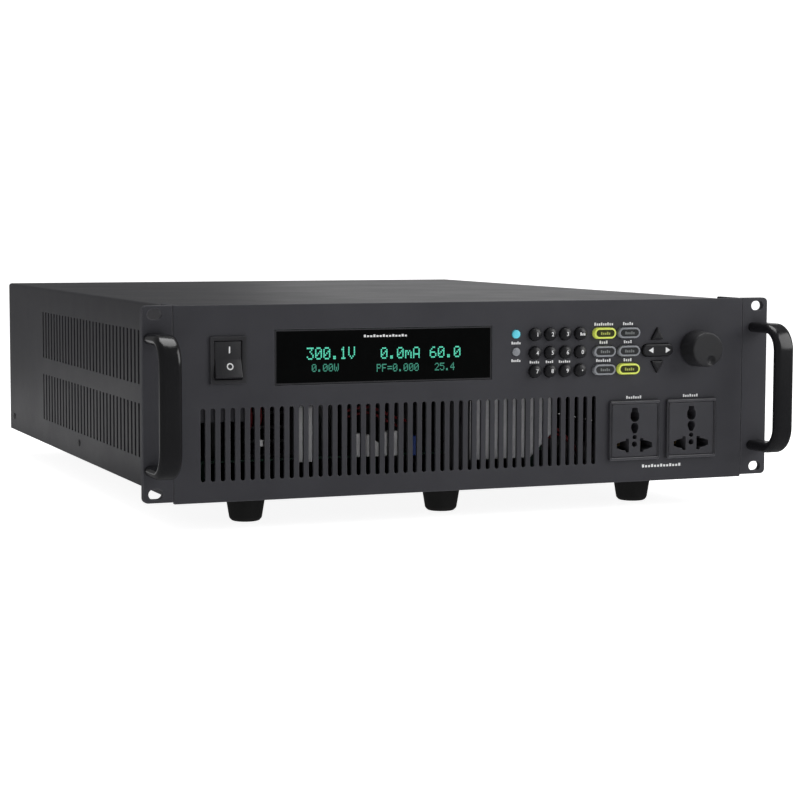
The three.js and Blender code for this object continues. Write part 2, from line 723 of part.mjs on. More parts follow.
// ---- knob and encoder
function addKnob() {
  const z = middleZ + knobZ;
  const frontRadius = knobRadius - knobTaper;
  const hollowRadius = knobRadius - knobWall;
  const hollowY = -knobGap - knobHollow;
  const boreRadius = shaftRadius + fitGap;
  const boreY = -shaftReach - fitGap;
  const body = turned([
    [0, -knobProud], [frontRadius - knobEdge, -knobProud], [frontRadius, knobEdge - knobProud], [knobRadius, -knobGap],
    [hollowRadius, -knobGap], [hollowRadius, hollowY], [boreRadius, hollowY], [boreRadius, boreY], [0, boreY],
  ], knobSides);
  const angle = radians(dimpleAngle);
  const dimple = new THREE.SphereGeometry(dimpleSphere, 12, 8);
  const dimpleY = dimpleDepth - dimpleSphere - knobProud;
  dimple.translate(dimpleOffset * Math.cos(angle), dimpleY, dimpleOffset * Math.sin(angle));
  add("knob", cut(body, dimple), blackPlastic, knobX, 0, z);

  const encoderBackY = behindPlateY + encoderDepth;
  const shaftEndY = encoderBackY - boardSheet;
  add("encoder_shaft", rod(shaftRadius, -shaftReach, shaftEndY), bareAluminium, knobX, 0, z);
  const bushing = rod(bushingRadius, -bushingProud, behindPlateY + embed);
  const encoder = bar(encoderSize, encoderSize, behindPlateY, encoderBackY);
  const bore = rod(shaftRadius + turnGap, -bushingProud - overrun, shaftEndY + fitGap, boreSides);
  add("encoder_body", cut(joined(encoder, bushing), bore), bareAluminium, knobX, 0, z);
}

// ---- outlets, with wells for flat, round and square pins
function addOutlets() {
  const z = middleZ + outletZ;
  const opening = rectangle(outletCutWidth, outletCutHeight);
  const bezel = piercedPlate(rectangle(outletBezelWidth, outletBezelHeight), [opening], -outletProud, -fitGap);
  const faceY = outletSink - outletProud;
  const insert = bar(outletWidth, outletHeight, faceY, outletDepth);
  const places = [earthWell, middleWell, sideWell, { ...sideWell, x: -sideWell.x }];
  const outlines = places.map((well) => rectangle(well.width, well.height, well.x, well.z));
  const wells = frontPlate(outlines, faceY - overrun, faceY + wellDepth);
  const socket = cut(insert, wells);
  ["left", "right"].forEach((side, i) => {
    add(`outlet_bezel_${side}`, bezel, blackPlastic, outletX[i], 0, z);
    add(`outlet_insert_${side}`, socket, blackPlastic, outletX[i], 0, z);
  });
}

// ---- fans, laid out from their rear face
function fanHousingGeometry() {
  const duct = piercedPlate(rectangle(fanSize, fanSize), [disc(fanBore, 0, 0, boreSides)], -fanDepth, 0);
  const motor = rod(fanHub, -fanMotorSheet, 0);
  const half = fanMotorSheet / 2;
  const struts = Array.from({ length: fanStruts }, (_, i) => {
    const strut = block(fanHub - embed, fanBore + embed, -fanMotorSheet, 0, -half, half);
    return strut.rotateY((2 * Math.PI * i) / fanStruts + Math.PI / 2);
  });
  const bearing = rod(fanSpindle + turnGap, -fanMotorSheet - overrun, overrun, boreSides);
  return cut(joined(duct, motor, ...struts), bearing);
}

function fanRotorGeometry() {
  const hubFront = fanMotorGap - fanDepth;
  const hubBack = -fanMotorSheet - fanMotorGap;
  const hub = rod(fanHub, hubFront, hubBack);
  const spindle = rod(fanSpindle, hubBack - embed, -fanMotorSheet / 2);
  const [root, halfChord, halfSheet] = [fanHub - 2, fanBladeChord / 2, fanBladeSheet / 2];
  const blades = Array.from({ length: fanBladeCount }, (_, i) => {
    const blade = block(root, fanBladeTip, -halfChord, halfChord, -halfSheet, halfSheet);
    blade.rotateX(radians(fanBladePitch)).rotateY((2 * Math.PI * i) / fanBladeCount);
    return blade.translate(0, (hubFront + hubBack) / 2, 0);
  });
  return joined(hub, spindle, ...blades);
}

function addFans() {
  const housing = fanHousingGeometry();
  const rotor = fanRotorGeometry();
  ["left", "right"].forEach((side, i) => {
    add(`fan_housing_${side}`, housing, blackPlastic, fanX[i], rearInnerY, middleZ + fanRise);
    add(`fan_rotor_${side}`, rotor, blackPlastic, fanX[i], rearInnerY, middleZ + fanRise);
  });
}

// ---- rear connections, laid out from the rear panel's face
function addPowerInlet() {
  const flange = bar(inletWidth + 2 * inletFlange, inletHeight + 2 * inletFlange, fitGap, inletProud);
  const housing = bar(inletWidth, inletHeight, -inletDepth, inletProud);
  const wall = 2 * inletWall;
  const cavity = bar(inletWidth - wall, inletHeight - wall, inletProud - inletCavity, inletProud + overrun);
  const pins = [-1, 0, 1].map((i) => {
    const lift = i === 0 ? inletPinStagger : -inletPinStagger;
    return bar(inletPinWidth, inletPinHeight, -inletCavity, -embed, i * inletPinSpacing, lift);
  });
  const shell = cut(joined(flange, housing), cavity);
  add("power_inlet", joined(shell, ...pins), blackPlastic, inletX, bodyDepth, middleZ + inletZ);
}

function addTerminalBlock() {
  const pitch = terminalBayWidth + terminalBarrier;
  const half = terminalHeight / 2;
  const body = bar(terminalBays * pitch + terminalBarrier, terminalHeight, fitGap, terminalReach);
  const bays = Array.from({ length: terminalBays }, (_, i) => {
    const x0 = (i - terminalBays / 2) * pitch + terminalBarrier / 2;
    const y0 = terminalReach - terminalBayDepth;
    return block(x0, x0 + terminalBayWidth, y0, terminalReach + overrun, -half - overrun, half - terminalBarrier);
  });
  add("output_terminal_block", cut(body, ...bays), blackPlastic, terminalX, bodyDepth, middleZ + terminalZ);
}

function addInterfaceModule() {
  const [halfX, low] = [portBlockWidth / 2, -portBlockHeight / 2];
  const housing = bar(portBlockWidth, portBlockHeight, -portDepth, portProud);
  const socketX = portSocketWidth - halfX;
  const socket = bar(portSocketWidth, portSocketHeight, portProud - portSocketDepth, portProud + overrun, socketX);
  const board = block(-halfX, halfX, -portDepth - portBoardDepth, embed - portDepth, low, low + boardSheet);
  const module = joined(cut(housing, socket), board);
  add("interface_module", module, bareAluminium, portX, bodyDepth, middleZ + portZ);
}

// ---- inside
function addMainBoard() {
  const [x0, x1] = mainBoardX;
  const [y0, y1] = [mainBoardFrontY, bodyDepth - mainBoardRearMargin];
  const top = baseZ + mainBoardRise;
  const board = block(x0, x1, y0, y1, top - boardSheet, top);
  const inset = 2 * standoffRadius;
  const postPlaces = [x0 + inset, (x0 + x1) / 2, x1 - inset].flatMap((x) => [[x, y0 + inset], [x, y1 - inset]]);
  const posts = postPlaces.map(([x, y]) => {
    const post = rod(standoffRadius, baseZ + traySheet + fitGap, top - boardSheet / 2, postSides);
    return post.rotateX(Math.PI / 2).translate(x, y, 0);
  });
  add("main_board", joined(board, ...posts), circuitGreen);
}

function addHeatsink() {
  const rearY = bodyDepth - heatsinkRearMargin;
  const half = heatsinkBase / 2;
  const base = block(-half, half, heatsinkFrontY, rearY, 0, heatsinkHeight);
  const pitch = (heatsinkHeight - heatsinkFinSheet) / (heatsinkFinCount - 1);
  const fins = Array.from({ length: heatsinkFinCount }, (_, i) => {
    return block(-half - heatsinkFin, embed - half, heatsinkFrontY, rearY, i * pitch, i * pitch + heatsinkFinSheet);
  });
  add("heatsink", joined(base, ...fins), bareAluminium, heatsinkX, 0, baseZ + mainBoardRise + fitGap);
}

// A laminated core with two windows, and a coil on its middle limb.
function addTransformer() {
  const windowMiddle = (coreLimb + coreWindowWidth) / 2;
  const windows = [-1, 1].map((side) => rectangle(coreWindowWidth, coreWindowHeight, side * windowMiddle));
  const laminations = piercedPlate(rectangle(coreWidth, coreHeight), windows, -coreDepth / 2, coreDepth / 2);
  const coilHalf = coreDepth / 2 + coilBulge;
  const coil = bar(coreLimb + 2 * coilWall, coreWindowHeight - 2 * fitGap, -coilHalf, coilHalf);
  const z = baseZ + traySheet + fitGap + coreHeight / 2;
  add("transformer", joined(laminations, coil), coreIron, transformerX, bodyDepth / 2, z);
}

// A bright plate behind the vents, with a shelf folded back from its top.
function addDisplayShelf() {
  const [x0, x1] = shelfX;
  const corners = [[x0, 0], [x1 - shelfSlope, 0], [x1, shelfSlope], [x1, shelfHeight], [x0, shelfHeight]];
  const upright = frontPlate(polygon(corners), shelfY, shelfY + shelfSheet);
  const shelf = block(x0, x1, shelfY, shelfY + shelfDepth, shelfHeight - shelfSheet, shelfHeight);
  add("display_shelf", joined(upright, shelf), bareAluminium, 0, 0, middleZ - shelfHeight);
}

addTray();
addCover();
addFrontPanel();
addRearPanel();
addEars();
addHandles();
addFeet();
addDisplay();
addPowerSwitch();
addKeys();
addKeypadBoard();
addKnob();
addOutlets();
addFans();
addPowerInlet();
addTerminalBlock();
addInterfaceModule();
addMainBoard();
addHeatsink();
addTransformer();
addDisplayShelf();

export default group;
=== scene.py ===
import math

import bmesh
import bpy
from mathutils import Matrix, Vector
from mathutils.geometry import tessellate_polygon


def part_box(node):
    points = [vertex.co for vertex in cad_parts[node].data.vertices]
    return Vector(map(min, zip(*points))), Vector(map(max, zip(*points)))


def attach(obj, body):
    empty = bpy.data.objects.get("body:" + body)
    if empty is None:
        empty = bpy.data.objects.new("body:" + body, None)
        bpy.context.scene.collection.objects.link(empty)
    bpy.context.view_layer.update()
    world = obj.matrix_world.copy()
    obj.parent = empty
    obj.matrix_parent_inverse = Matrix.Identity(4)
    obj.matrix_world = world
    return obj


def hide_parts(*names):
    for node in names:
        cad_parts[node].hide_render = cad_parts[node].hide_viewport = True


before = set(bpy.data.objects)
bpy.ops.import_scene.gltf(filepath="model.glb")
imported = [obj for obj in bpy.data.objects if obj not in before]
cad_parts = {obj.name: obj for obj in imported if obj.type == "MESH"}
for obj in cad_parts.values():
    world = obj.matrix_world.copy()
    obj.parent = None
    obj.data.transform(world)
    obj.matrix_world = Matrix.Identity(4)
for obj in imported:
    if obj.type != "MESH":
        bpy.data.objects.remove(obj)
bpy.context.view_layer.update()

# Lengths are in millimetres in the row frame, and become metres when a mesh is made.
MM = 0.001
RUN_GAP = 0.25  # round a piece that slides through the panel
KEY_FLANGE = 0.7  # a key's flange past its cap
FLANGE_SHEET = 1.2  # how thick that flange is
RIM = 0.35  # rounding of a sheet's or a moulding's edge


def span(node):
    """A CAD node's lowest and highest corner in millimetres."""
    low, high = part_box(node)
    return [v / MM for v in low], [v / MM for v in high]


def extent(node):
    low, high = span(node)
    return [b - a for a, b in zip(low, high)]


def middle(node):
    low, high = span(node)
    return [(a + b) / 2 for a, b in zip(low, high)]


# ---------------- outlines, as lists of (u, v)
def arc(radius, u, v, start, end, steps):
    turns = [math.radians(start + (end - start) * i / steps) for i in range(steps + 1)]
    return [(u + radius * math.cos(t), v + radius * math.sin(t)) for t in turns]


def circle(radius, u=0.0, v=0.0, steps=40):
    return arc(radius, u, v, 0, 360, steps)[:-1]


def oval(width, height, u=0.0, v=0.0, steps=10):
    """A slot with round ends, lying or standing."""
    if height >= width:
        r, reach = width / 2, height / 2 - width / 2
        return arc(r, u, v + reach, 0, 180, steps) + arc(r, u, v - reach, 180, 360, steps)
    r, reach = height / 2, width / 2 - height / 2
    return arc(r, u + reach, v, -90, 90, steps) + arc(r, u - reach, v, 90, 270, steps)


def eased(a, p, b, radius, steps):
    """The corner at p, between a and b, as points of a curve."""
    a, p, b = Vector(a), Vector(p), Vector(b)
    cut = min(radius, (a - p).length / 2.05, (b - p).length / 2.05)
    start, end = p + (a - p).normalized() * cut, p + (b - p).normalized() * cut
    shares = [k / steps for k in range(steps + 1)]
    return [tuple(start * (1 - t) ** 2 + p * 2 * t * (1 - t) + end * t * t) for t in shares]


def rounded(points, radius, steps=5):
    """A closed outline with its corners rounded off."""
    around = zip(points[-1:] + points[:-1], points, points[1:] + points[:1])
    return [q for a, p, b in around for q in eased(a, p, b, radius, steps)]


def smoothed(profile, radius, steps=4):
    """An open profile with its inner corners rounded off."""
    around = zip(profile, profile[1:], profile[2:])
    return [profile[0]] + [q for a, p, b in around for q in eased(a, p, b, radius, steps)] + [profile[-1]]


def rectangle(width, height, u=0.0, v=0.0, radius=0.0):
    a, b = width / 2, height / 2
    corners = [(u - a, v - b), (u + a, v - b), (u + a, v + b), (u - a, v + b)]
    return rounded(corners, radius) if radius else corners


def triangle(inradius, start, u=0.0, v=0.0, radius=0.8):
    turns = [math.radians(start + 120 * i) for i in range(3)]
    corners = [(u + 2 * inradius * math.cos(t), v + 2 * inradius * math.sin(t)) for t in turns]
    return rounded(corners, radius, 3)


def symmetric(left):
    """An outline from its left half, which is listed from the top down."""
    return left + [(-u, v) for u, v in reversed(left)]


def turned_way(loop, left):
    area = sum(a[0] * b[1] - b[0] * a[1] for a, b in zip(loop, loop[1:] + loop[:1]))
    return loop if (area > 0) == left else loop[::-1]


def inset(loop, amount):
    """The loop moved towards its left by an amount."""
    out = []
    for i, point in enumerate(loop):
        p, a, b = (Vector(q) for q in (point, loop[i - 1], loop[(i + 1) % len(loop)]))
        into, away = (p - a).normalized(), (b - p).normalized()
        left = Vector((-into.y - away.y, into.x + away.x)).normalized()
        out.append(tuple(p + left * amount / max(0.5, left.dot(Vector((-away.y, away.x))))))
    return out


def seen_from_front(node, grow=0.0, radius=0.5):
    """A node's outline as a rectangle, grown on every side."""
    x, _, z = middle(node)
    wide, _, tall = extent(node)
    return rectangle(wide + 2 * grow, tall + 2 * grow, x, z, radius)


# ---------------- solids, added to a bmesh
PLACES = {"x": lambda u, v, w: (w, u, v), "y": lambda u, v, w: (u, w, v), "z": lambda u, v, w: (u, v, w)}


def flat_layer(bm):
    """Faces marked here stay flat, so that a wide face isn't shaded by its rounded rim."""
    return bm.faces.layers.int.get("flat") or bm.faces.layers.int.new("flat")


def rim_layer(bm):
    """How much each vertex of a sheet's rounded rim is rubbed, from 0 to 1."""
    return bm.verts.layers.float.get("rim") or bm.verts.layers.float.new("rim")


def plate(bm, outline, w0, w1, holes=(), edge=RIM, axis="y", steps=3, far_edge=None, margin=0.0):
    """A sheet or block of any outline from w0 to w1 along an axis, with openings and rounded rims.

    A margin is a flat strip past each rim, which keeps wear to the rim of a wide sheet."""
    flat_mark, rub = flat_layer(bm), rim_layer(bm)
    loops = [turned_way(list(outline), True)] + [turned_way(list(h), False) for h in holes]
    far = edge if far_edge is None else far_edge
    levels = []
    for k in range(steps + 1):
        t = math.pi / 2 * k / steps
        levels.append((edge * (1 - math.sin(t)), w0 + edge * (1 - math.cos(t))))
    for k in range(steps + 1):
        t = math.pi / 2 * (1 - k / steps)
        levels.append((far * (1 - math.sin(t)), w1 - far * (1 - math.cos(t))))
    wall = [0.6] + [1.0] * (steps - 1) + [0.2]
    rubbed = wall + wall[::-1]
    if margin:
        levels = [(edge + margin, w0)] + levels + [(far + margin, w1)]
        rubbed = [0.0] + rubbed + [0.0]
    rings = []
    for (amount, w), amount_rubbed in zip(levels, rubbed):
        ring = [[bm.verts.new(PLACES[axis](u, v, w)) for u, v in inset(loop, amount)] for loop in loops]
        rings.append(ring)
        if margin:
            for vert in (vert for loop in ring for vert in loop):
                vert[rub] = amount_rubbed
    for near, away in zip(rings, rings[1:]):
        for a, b in zip(near, away):
            for i in range(len(a)):
                j = (i + 1) % len(a)
                bm.faces.new((a[i], a[j], b[j], b[i]))
    for ring, amount in ((rings[0], levels[0][0]), (rings[-1], levels[-1][0])):
        flat = [[Vector((u, v, 0)) for u, v in inset(loop, amount)] for loop in loops]
        verts = [vert for loop in ring for vert in loop]
        for corners in tessellate_polygon(flat):
            if len(set(corners)) == 3:
                bm.faces.new([verts[i] for i in corners])[flat_mark] = 1


def block(bm, x0, x1, y0, y1, z0, z1, edge=RIM):
    plate(bm, rectangle(x1 - x0, z1 - z0, (x0 + x1) / 2, (z0 + z1) / 2, edge * 1.5), y0, y1, edge=edge)


def lathe(bm, profile, u, v, sides=48, axis="y"):
    """A profile of (radius, w) turned round an axis through (u, v)."""
    rings = []
    for r, w in profile:
        if r < 1e-6:
            rings.append([bm.verts.new(PLACES[axis](u, v, w))])
        else:
            rings.append([bm.verts.new(PLACES[axis](*point, w)) for point in circle(r, u, v, sides)])
    for a, b in zip(rings, rings[1:]):
        for i in range(sides):
            j = (i + 1) % sides
            corners = [a[i % len(a)], a[j % len(a)], b[j % len(b)], b[i % len(b)]]
            unique = list(dict.fromkeys(corners))
            if len(unique) > 2:
                bm.faces.new(unique)
    return rings


def sweep(bm, path, section, across=Vector((1, 0, 0))):
    """A closed section of (u, v) carried along a path, with u along a fixed direction."""
    rings = []
    for i, p in enumerate(path):
        ahead = (path[min(i + 1, len(path) - 1)] - path[max(i - 1, 0)]).normalized()
        side = (across - ahead * across.dot(ahead)).normalized()
        rise = side.cross(ahead)
        rings.append([bm.verts.new(p + side * u + rise * v) for u, v in section])
    for a, b in zip(rings, rings[1:]):
        for i in range(len(a)):
            j = (i + 1) % len(a)
            bm.faces.new((a[i], a[j], b[j], b[i]))
    bm.faces.new(rings[0])
    bm.faces.new(rings[-1])


def curve_points(points, each=8):
    """Points of a smooth line through the given ones."""
    p = [Vector(q) for q in points]
    p = [p[0] * 2 - p[1]] + p + [p[-1] * 2 - p[-2]]
    out = []
    for a, b, c, d in zip(p, p[1:], p[2:], p[3:]):
        bend, twist = 2 * a - 5 * b + 4 * c - d, 3 * b - a - 3 * c + d
        for t in (k / each for k in range(each)):
            out.append(0.5 * (2 * b + (c - a) * t + bend * t**2 + twist * t**3))
    return out + [p[-2]]


def wire(bm, points, radius):
    path = curve_points(points)
    run = path[-1] - path[0]
    across = Vector((0, 0, 1)) if abs(run.x) > abs(run.z) else Vector((1, 0, 0))
    sweep(bm, path, circle(radius, steps=10), across)


def screw(bm, u, v, w, side, axis, radius=2.7, height=1.1, flush=False):
    """A cross-head screw standing on a face at w, its head towards side (+1 or -1) along an axis."""
    sides, root = 28, w - side * 0.4
    a, b = radius * 0.52, radius * 0.13
    cross = [(a, b), (b, b), (b, a), (-b, a), (-b, b), (-a, b)]
    cross = [(u + p, v + q) for p, q in cross + [(-p, -q) for p, q in cross]]
    if flush:
        low, high = sorted((root, w + side * 0.12))
        near, far = (0.05, 0.08) if side > 0 else (0.08, 0.05)
        plate(bm, circle(radius, u, v, sides), low, high, [cross], near, axis, 3, far)
        return
    crown, top = radius * 0.55, w + side * height
    head = smoothed([(radius, root), (radius, w + side * height * 0.35), (crown, top)], 1.0)
    lathe(bm, head, u, v, sides, axis)
    plate(bm, circle(crown, u, v, sides), *sorted((top - side * 0.5, top)), [cross], 0.0, axis, 1, 0.0)


# ---------------- materials
PAINTS = {}
WORN_RIMS = ("ShaderNodeAttribute", "Fac", 0.1, 1.0)
WORN_EDGES = ("ShaderNodeNewGeometry", "Pointiness", 0.53, 0.62)


def rgba(colour):
    """Red, green and blue, or a grey as its level and its blue, made opaque."""
    return colour[0], colour[-2], colour[-1], 1


def finish(name, dark, light, roughness, grain, bump, metallic=0.0, spread=0.06, broad=18.0, wear=None,
           worn=0.5, glow=None, power=0.0, stretch=(1, 1, 1), specular=0.5, slot=None, sheet=False):
    """Colour runs from dark to light by broad and fine noise; edges, or a sheet's rims, wear to another."""
    made = bpy.data.materials.new(name)
    PAINTS[name] = made
    made["slot"] = slot or name
    made.use_nodes = True
    tree = made.node_tree
    tree.nodes.clear()
    new = tree.nodes.new

    def fed(node, inputs):
        """The node's first output, once its inputs are linked or set."""
        for key, value in inputs.items():
            if isinstance(value, bpy.types.NodeSocket):
                tree.links.new(value, node.inputs[key])
            else:
                node.inputs[key].default_value = value
        return node.outputs[0]

    def noise(scale, detail):
        look = {"Scale": scale, "Detail": detail, "Roughness": 0.6}
        return fed(new("ShaderNodeTexNoise"), {"Vector": place, **look})

    def maths(kind, a, b):
        node = new("ShaderNodeMath")
        node.operation = kind
        return fed(node, {0: a, 1: b})

    def mapped(value, start, end, low, high):
        limits = {"From Min": start, "From Max": end, "To Min": low, "To Max": high}
        return fed(new("ShaderNodeMapRange"), {"Value": value, **limits})

    coords = new("ShaderNodeTexCoord").outputs["Object"]
    place = fed(new("ShaderNodeMapping"), {"Vector": coords, "Scale": stretch})
    wide, fine = noise(broad, 4), noise(grain, 2)
    both = maths("ADD", maths("MULTIPLY", wide, 0.6), maths("MULTIPLY", fine, 0.4))
    ramp = new("ShaderNodeValToRGB")
    for stop, position, shade in zip(ramp.color_ramp.elements, (0.34, 0.66), (dark, light)):
        stop.position, stop.color = position, rgba(shade)
    colour = fed(ramp, {0: both})
    if wear:
        kind, output, start, full = WORN_RIMS if sheet else WORN_EDGES
        source = new(kind)
        if sheet:
            source.attribute_name = "rim"
        rubbed = mapped(source.outputs[output], start, full, 0.0, worn)
        mix = new("ShaderNodeMix")
        mix.data_type = "RGBA"
        fed(mix, {"Factor": maths("MULTIPLY", rubbed, noise(broad * 9, 3)), "A": colour, "B": rgba(wear)})
        colour = mix.outputs["Result"]
    rough = mapped(both, 0.3, 0.7, max(0.02, roughness - spread), min(1.0, roughness + spread))
    raised = fed(new("ShaderNodeBump"), {"Strength": bump, "Distance": 0.0003, "Height": fine})
    shader = new("ShaderNodeBsdfPrincipled")
    surface = fed(shader, {"Base Color": colour, "Roughness": rough, "Normal": raised, "Metallic": metallic,
                           "Specular IOR Level": specular})
    if glow:
        fed(shader, {"Emission Color": rgba(glow), "Emission Strength": power})
    tree.links.new(surface, new("ShaderNodeOutputMaterial").inputs["Surface"])
    return made


finish("case_paint", (0.023, 0.026), (0.028, 0.032), 0.42, 1700, 0.2, specular=0.3)
finish("rear_paint", (0.023, 0.026), (0.029, 0.033), 0.42, 1700, 0.2, wear=(0.12, 0.13), specular=0.3,
       slot="case_paint", sheet=True)
finish("panel_paint", (0.036, 0.042), (0.045, 0.052), 0.5, 2100, 0.15, wear=(0.13, 0.14), specular=0.25,
       sheet=True)
finish("handle_gloss", (0.006, 0.007), (0.009, 0.010), 0.2, 700, 0.015, spread=0.03)
finish("foot_rubber", (0.005, 0.005), (0.010, 0.010), 0.72, 1300, 0.35, wear=(0.04, 0.04), specular=0.3)
finish("window_gloss", (0.0018, 0.0020, 0.0020), (0.0026, 0.0028, 0.0028), 0.07, 300, 0.01, spread=0.02,
       specular=0.06)
finish("display_glow", (0.03, 0.20, 0.15), (0.04, 0.26, 0.19), 0.4, 3000, 0.05, glow=(0.09, 0.66, 0.43),
       power=0.85)
finish("display_faint", (0.02, 0.10, 0.08), (0.02, 0.13, 0.10), 0.4, 3000, 0.05, glow=(0.05, 0.30, 0.20),
       power=0.75, slot="display_glow")
finish("circuit_board", (0.008, 0.045, 0.026), (0.014, 0.075, 0.042), 0.45, 1400, 0.25, broad=120)
finish("switch_plastic", (0.014, 0.016), (0.021, 0.024), 0.4, 2600, 0.15, wear=(0.09, 0.10))
finish("key_rubber", (0.008, 0.010), (0.013, 0.015), 0.38, 2400, 0.1, wear=(0.04, 0.045), worn=0.3)
finish("key_cyan", (0.08, 0.45, 0.56), (0.12, 0.56, 0.68), 0.35, 1800, 0.08, glow=(0.08, 0.50, 0.60),
       power=0.25)
finish("key_grey", (0.19, 0.20, 0.22), (0.26, 0.27, 0.29), 0.38, 1800, 0.1)
finish("key_lime", (0.44, 0.50, 0.07), (0.56, 0.62, 0.11), 0.35, 1800, 0.08, glow=(0.50, 0.57, 0.09),
       power=0.35)
finish("label_dark", (0.016, 0.017, 0.018), (0.026, 0.027, 0.029), 0.3, 1600, 0.05, slot="key_rubber")
finish("label_olive", (0.022, 0.024, 0.004), (0.034, 0.037, 0.006), 0.3, 1600, 0.05, slot="key_rubber")
finish("knob_plastic", (0.012, 0.014), (0.017, 0.019), 0.5, 2200, 0.2, wear=(0.1, 0.11))
finish("bare_metal", (0.46, 0.47, 0.48), (0.60, 0.61, 0.62), 0.32, 900, 0.12, metallic=0.9, stretch=(1, 1, 6))
finish("black_metal", (0.018, 0.019), (0.030, 0.032), 0.5, 900, 0.12, metallic=0.3, stretch=(1, 5, 1),
       slot="bare_metal")
finish("shelf_metal", (0.58, 0.60), (0.74, 0.76), 0.4, 900, 0.1, metallic=0.1, stretch=(1, 1, 6),
       slot="bare_metal")
finish("board_metal", (0.66, 0.67), (0.82, 0.83), 0.4, 900, 0.1, metallic=0.1, stretch=(1, 1, 6),
       slot="bright_steel")
finish("bright_steel", (0.50, 0.51), (0.66, 0.67), 0.25, 1100, 0.08, metallic=0.95, wear=(0.75, 0.76))
finish("screw_steel", (0.035, 0.037), (0.06, 0.062), 0.35, 1200, 0.1, metallic=0.7, wear=(0.3, 0.3))
finish("contact_brass", (0.42, 0.28, 0.10), (0.58, 0.40, 0.16), 0.3, 1000, 0.1, metallic=0.95,
       wear=(0.7, 0.55, 0.3))
finish("outlet_plastic", (0.034, 0.040), (0.043, 0.050), 0.4, 2300, 0.14, wear=(0.13, 0.14), sheet=True)
finish("socket_plastic", (0.015, 0.017), (0.022, 0.025), 0.45, 2200, 0.15, wear=(0.08, 0.08))
finish("fan_plastic", (0.012, 0.013), (0.020, 0.022), 0.42, 1700, 0.15, wear=(0.07, 0.07))
finish("terminal_plastic", (0.014, 0.015), (0.024, 0.026), 0.5, 1900, 0.2, wear=(0.1, 0.1))
finish("core_iron", (0.05, 0.045, 0.04), (0.10, 0.09, 0.08), 0.55, 1300, 0.3, metallic=0.5,
       stretch=(1, 12, 1))
finish("legend_ink", (0.66, 0.67, 0.68), (0.80, 0.80), 0.5, 2500, 0.1)
finish("label_ink", (0.13, 0.14, 0.14), (0.19, 0.20, 0.20), 0.5, 2500, 0.1, slot="legend_ink")
finish("lit_ink", (0.30, 0.33, 0.05), (0.38, 0.42, 0.08), 0.5, 2500, 0.1, slot="legend_ink")
finish("wire_red", (0.10, 0.006, 0.008), (0.16, 0.010, 0.012), 0.4, 1600, 0.1)
finish("part_blue", (0.02, 0.05, 0.25), (0.03, 0.08, 0.36), 0.4, 1500, 0.1)


# ---------------- pieces
def stand(name, data):
    """A new object in the scene."""
    made = bpy.data.objects.new(name, data)
    bpy.context.scene.collection.objects.link(made)
    return made


def piece(name, bm, paint, body="root", replaces=(), sharp=32):
    """The bmesh, in millimetres, as a piece that rides on a CAD body and may stand for CAD nodes."""
    bmesh.ops.remove_doubles(bm, verts=bm.verts, dist=0.0005)
    bmesh.ops.dissolve_degenerate(bm, edges=bm.edges, dist=0.0002)
    bmesh.ops.recalc_face_normals(bm, faces=bm.faces)
    bmesh.ops.scale(bm, vec=(MM, MM, MM), verts=bm.verts)
    bm.faces.index_update()
    flat_mark = flat_layer(bm)
    smooth = [not made_face[flat_mark] for made_face in bm.faces]
    mesh = bpy.data.meshes.new(name)
    bm.to_mesh(mesh)
    bm.free()
    mesh.set_sharp_from_angle(angle=math.radians(sharp))
    mesh.polygons.foreach_set("use_smooth", smooth)
    made = stand(name, mesh)
    mesh.materials.append(PAINTS[paint])
    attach(made, body)
    if replaces:
        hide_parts(*replaces)


def dress(node, paint, edge=0.3, sharp=32):
    """A CAD node kept as it is, with its edges rounded and its own material."""
    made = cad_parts[node]
    made.data.materials.clear()
    made.data.materials.append(PAINTS[paint])
    if "custom_normal" in made.data.attributes:
        made.data.attributes.remove(made.data.attributes["custom_normal"])
    made.data.shade_smooth()
    weld = made.modifiers.new("weld", "WELD")
    weld.merge_threshold = 0.00001
    flat = made.modifiers.new("flat", "DECIMATE")
    flat.decimate_type = "DISSOLVE"
    flat.angle_limit = math.radians(1)
    bevel = made.modifiers.new("edge", "BEVEL")
    bevel.width = edge * MM
    bevel.segments = 2
    bevel.limit_method = "ANGLE"
    bevel.angle_limit = math.radians(sharp)
    bevel.harden_normals = True


def lettering(name, words, size, u, v, w, paint, body="root", drop=None):
    """Raised characters facing the front, as flat ink or set back by drop(u, v) to follow a dome."""
    text = bpy.data.curves.new(name, "FONT")
    text.body, text.size, text.align_x, text.align_y = words, size, "CENTER", "CENTER"
    text.extrude, text.offset, text.resolution_u = 0.02, size * 0.012, 4
    made = stand(name, text)
    mesh = bpy.data.meshes.new_from_object(made.evaluated_get(bpy.context.evaluated_depsgraph_get()))
    bm = bmesh.new()
    bm.from_mesh(mesh)
    bpy.data.objects.remove(made)
    bpy.data.meshes.remove(mesh)
    bmesh.ops.subdivide_edges(bm, edges=bm.edges, cuts=2, use_grid_fill=False)
    for vert in bm.verts:
        x, y, z = vert.co
        fall = drop(u + x, v + y) if drop else 0.0
        vert.co = (u + x, w - z * 3 + fall, v + y)
    piece(name, bm, paint, body)


def legend(bm, count, width, height, u, v, w):
    """A plain row of small marks where the object carries a word."""
    pitch, raised = width / count, 0.04
    for i in range(count):
        tall = height * (0.72 if i % 3 else 1.0)
        x = u - width / 2 + pitch * (i + 0.5)
        mark = rectangle(pitch * 0.68, tall, x, v + (tall - height) / 2, 0.2)
        plate(bm, mark, w - raised, w + raised, edge=0.02, steps=1)


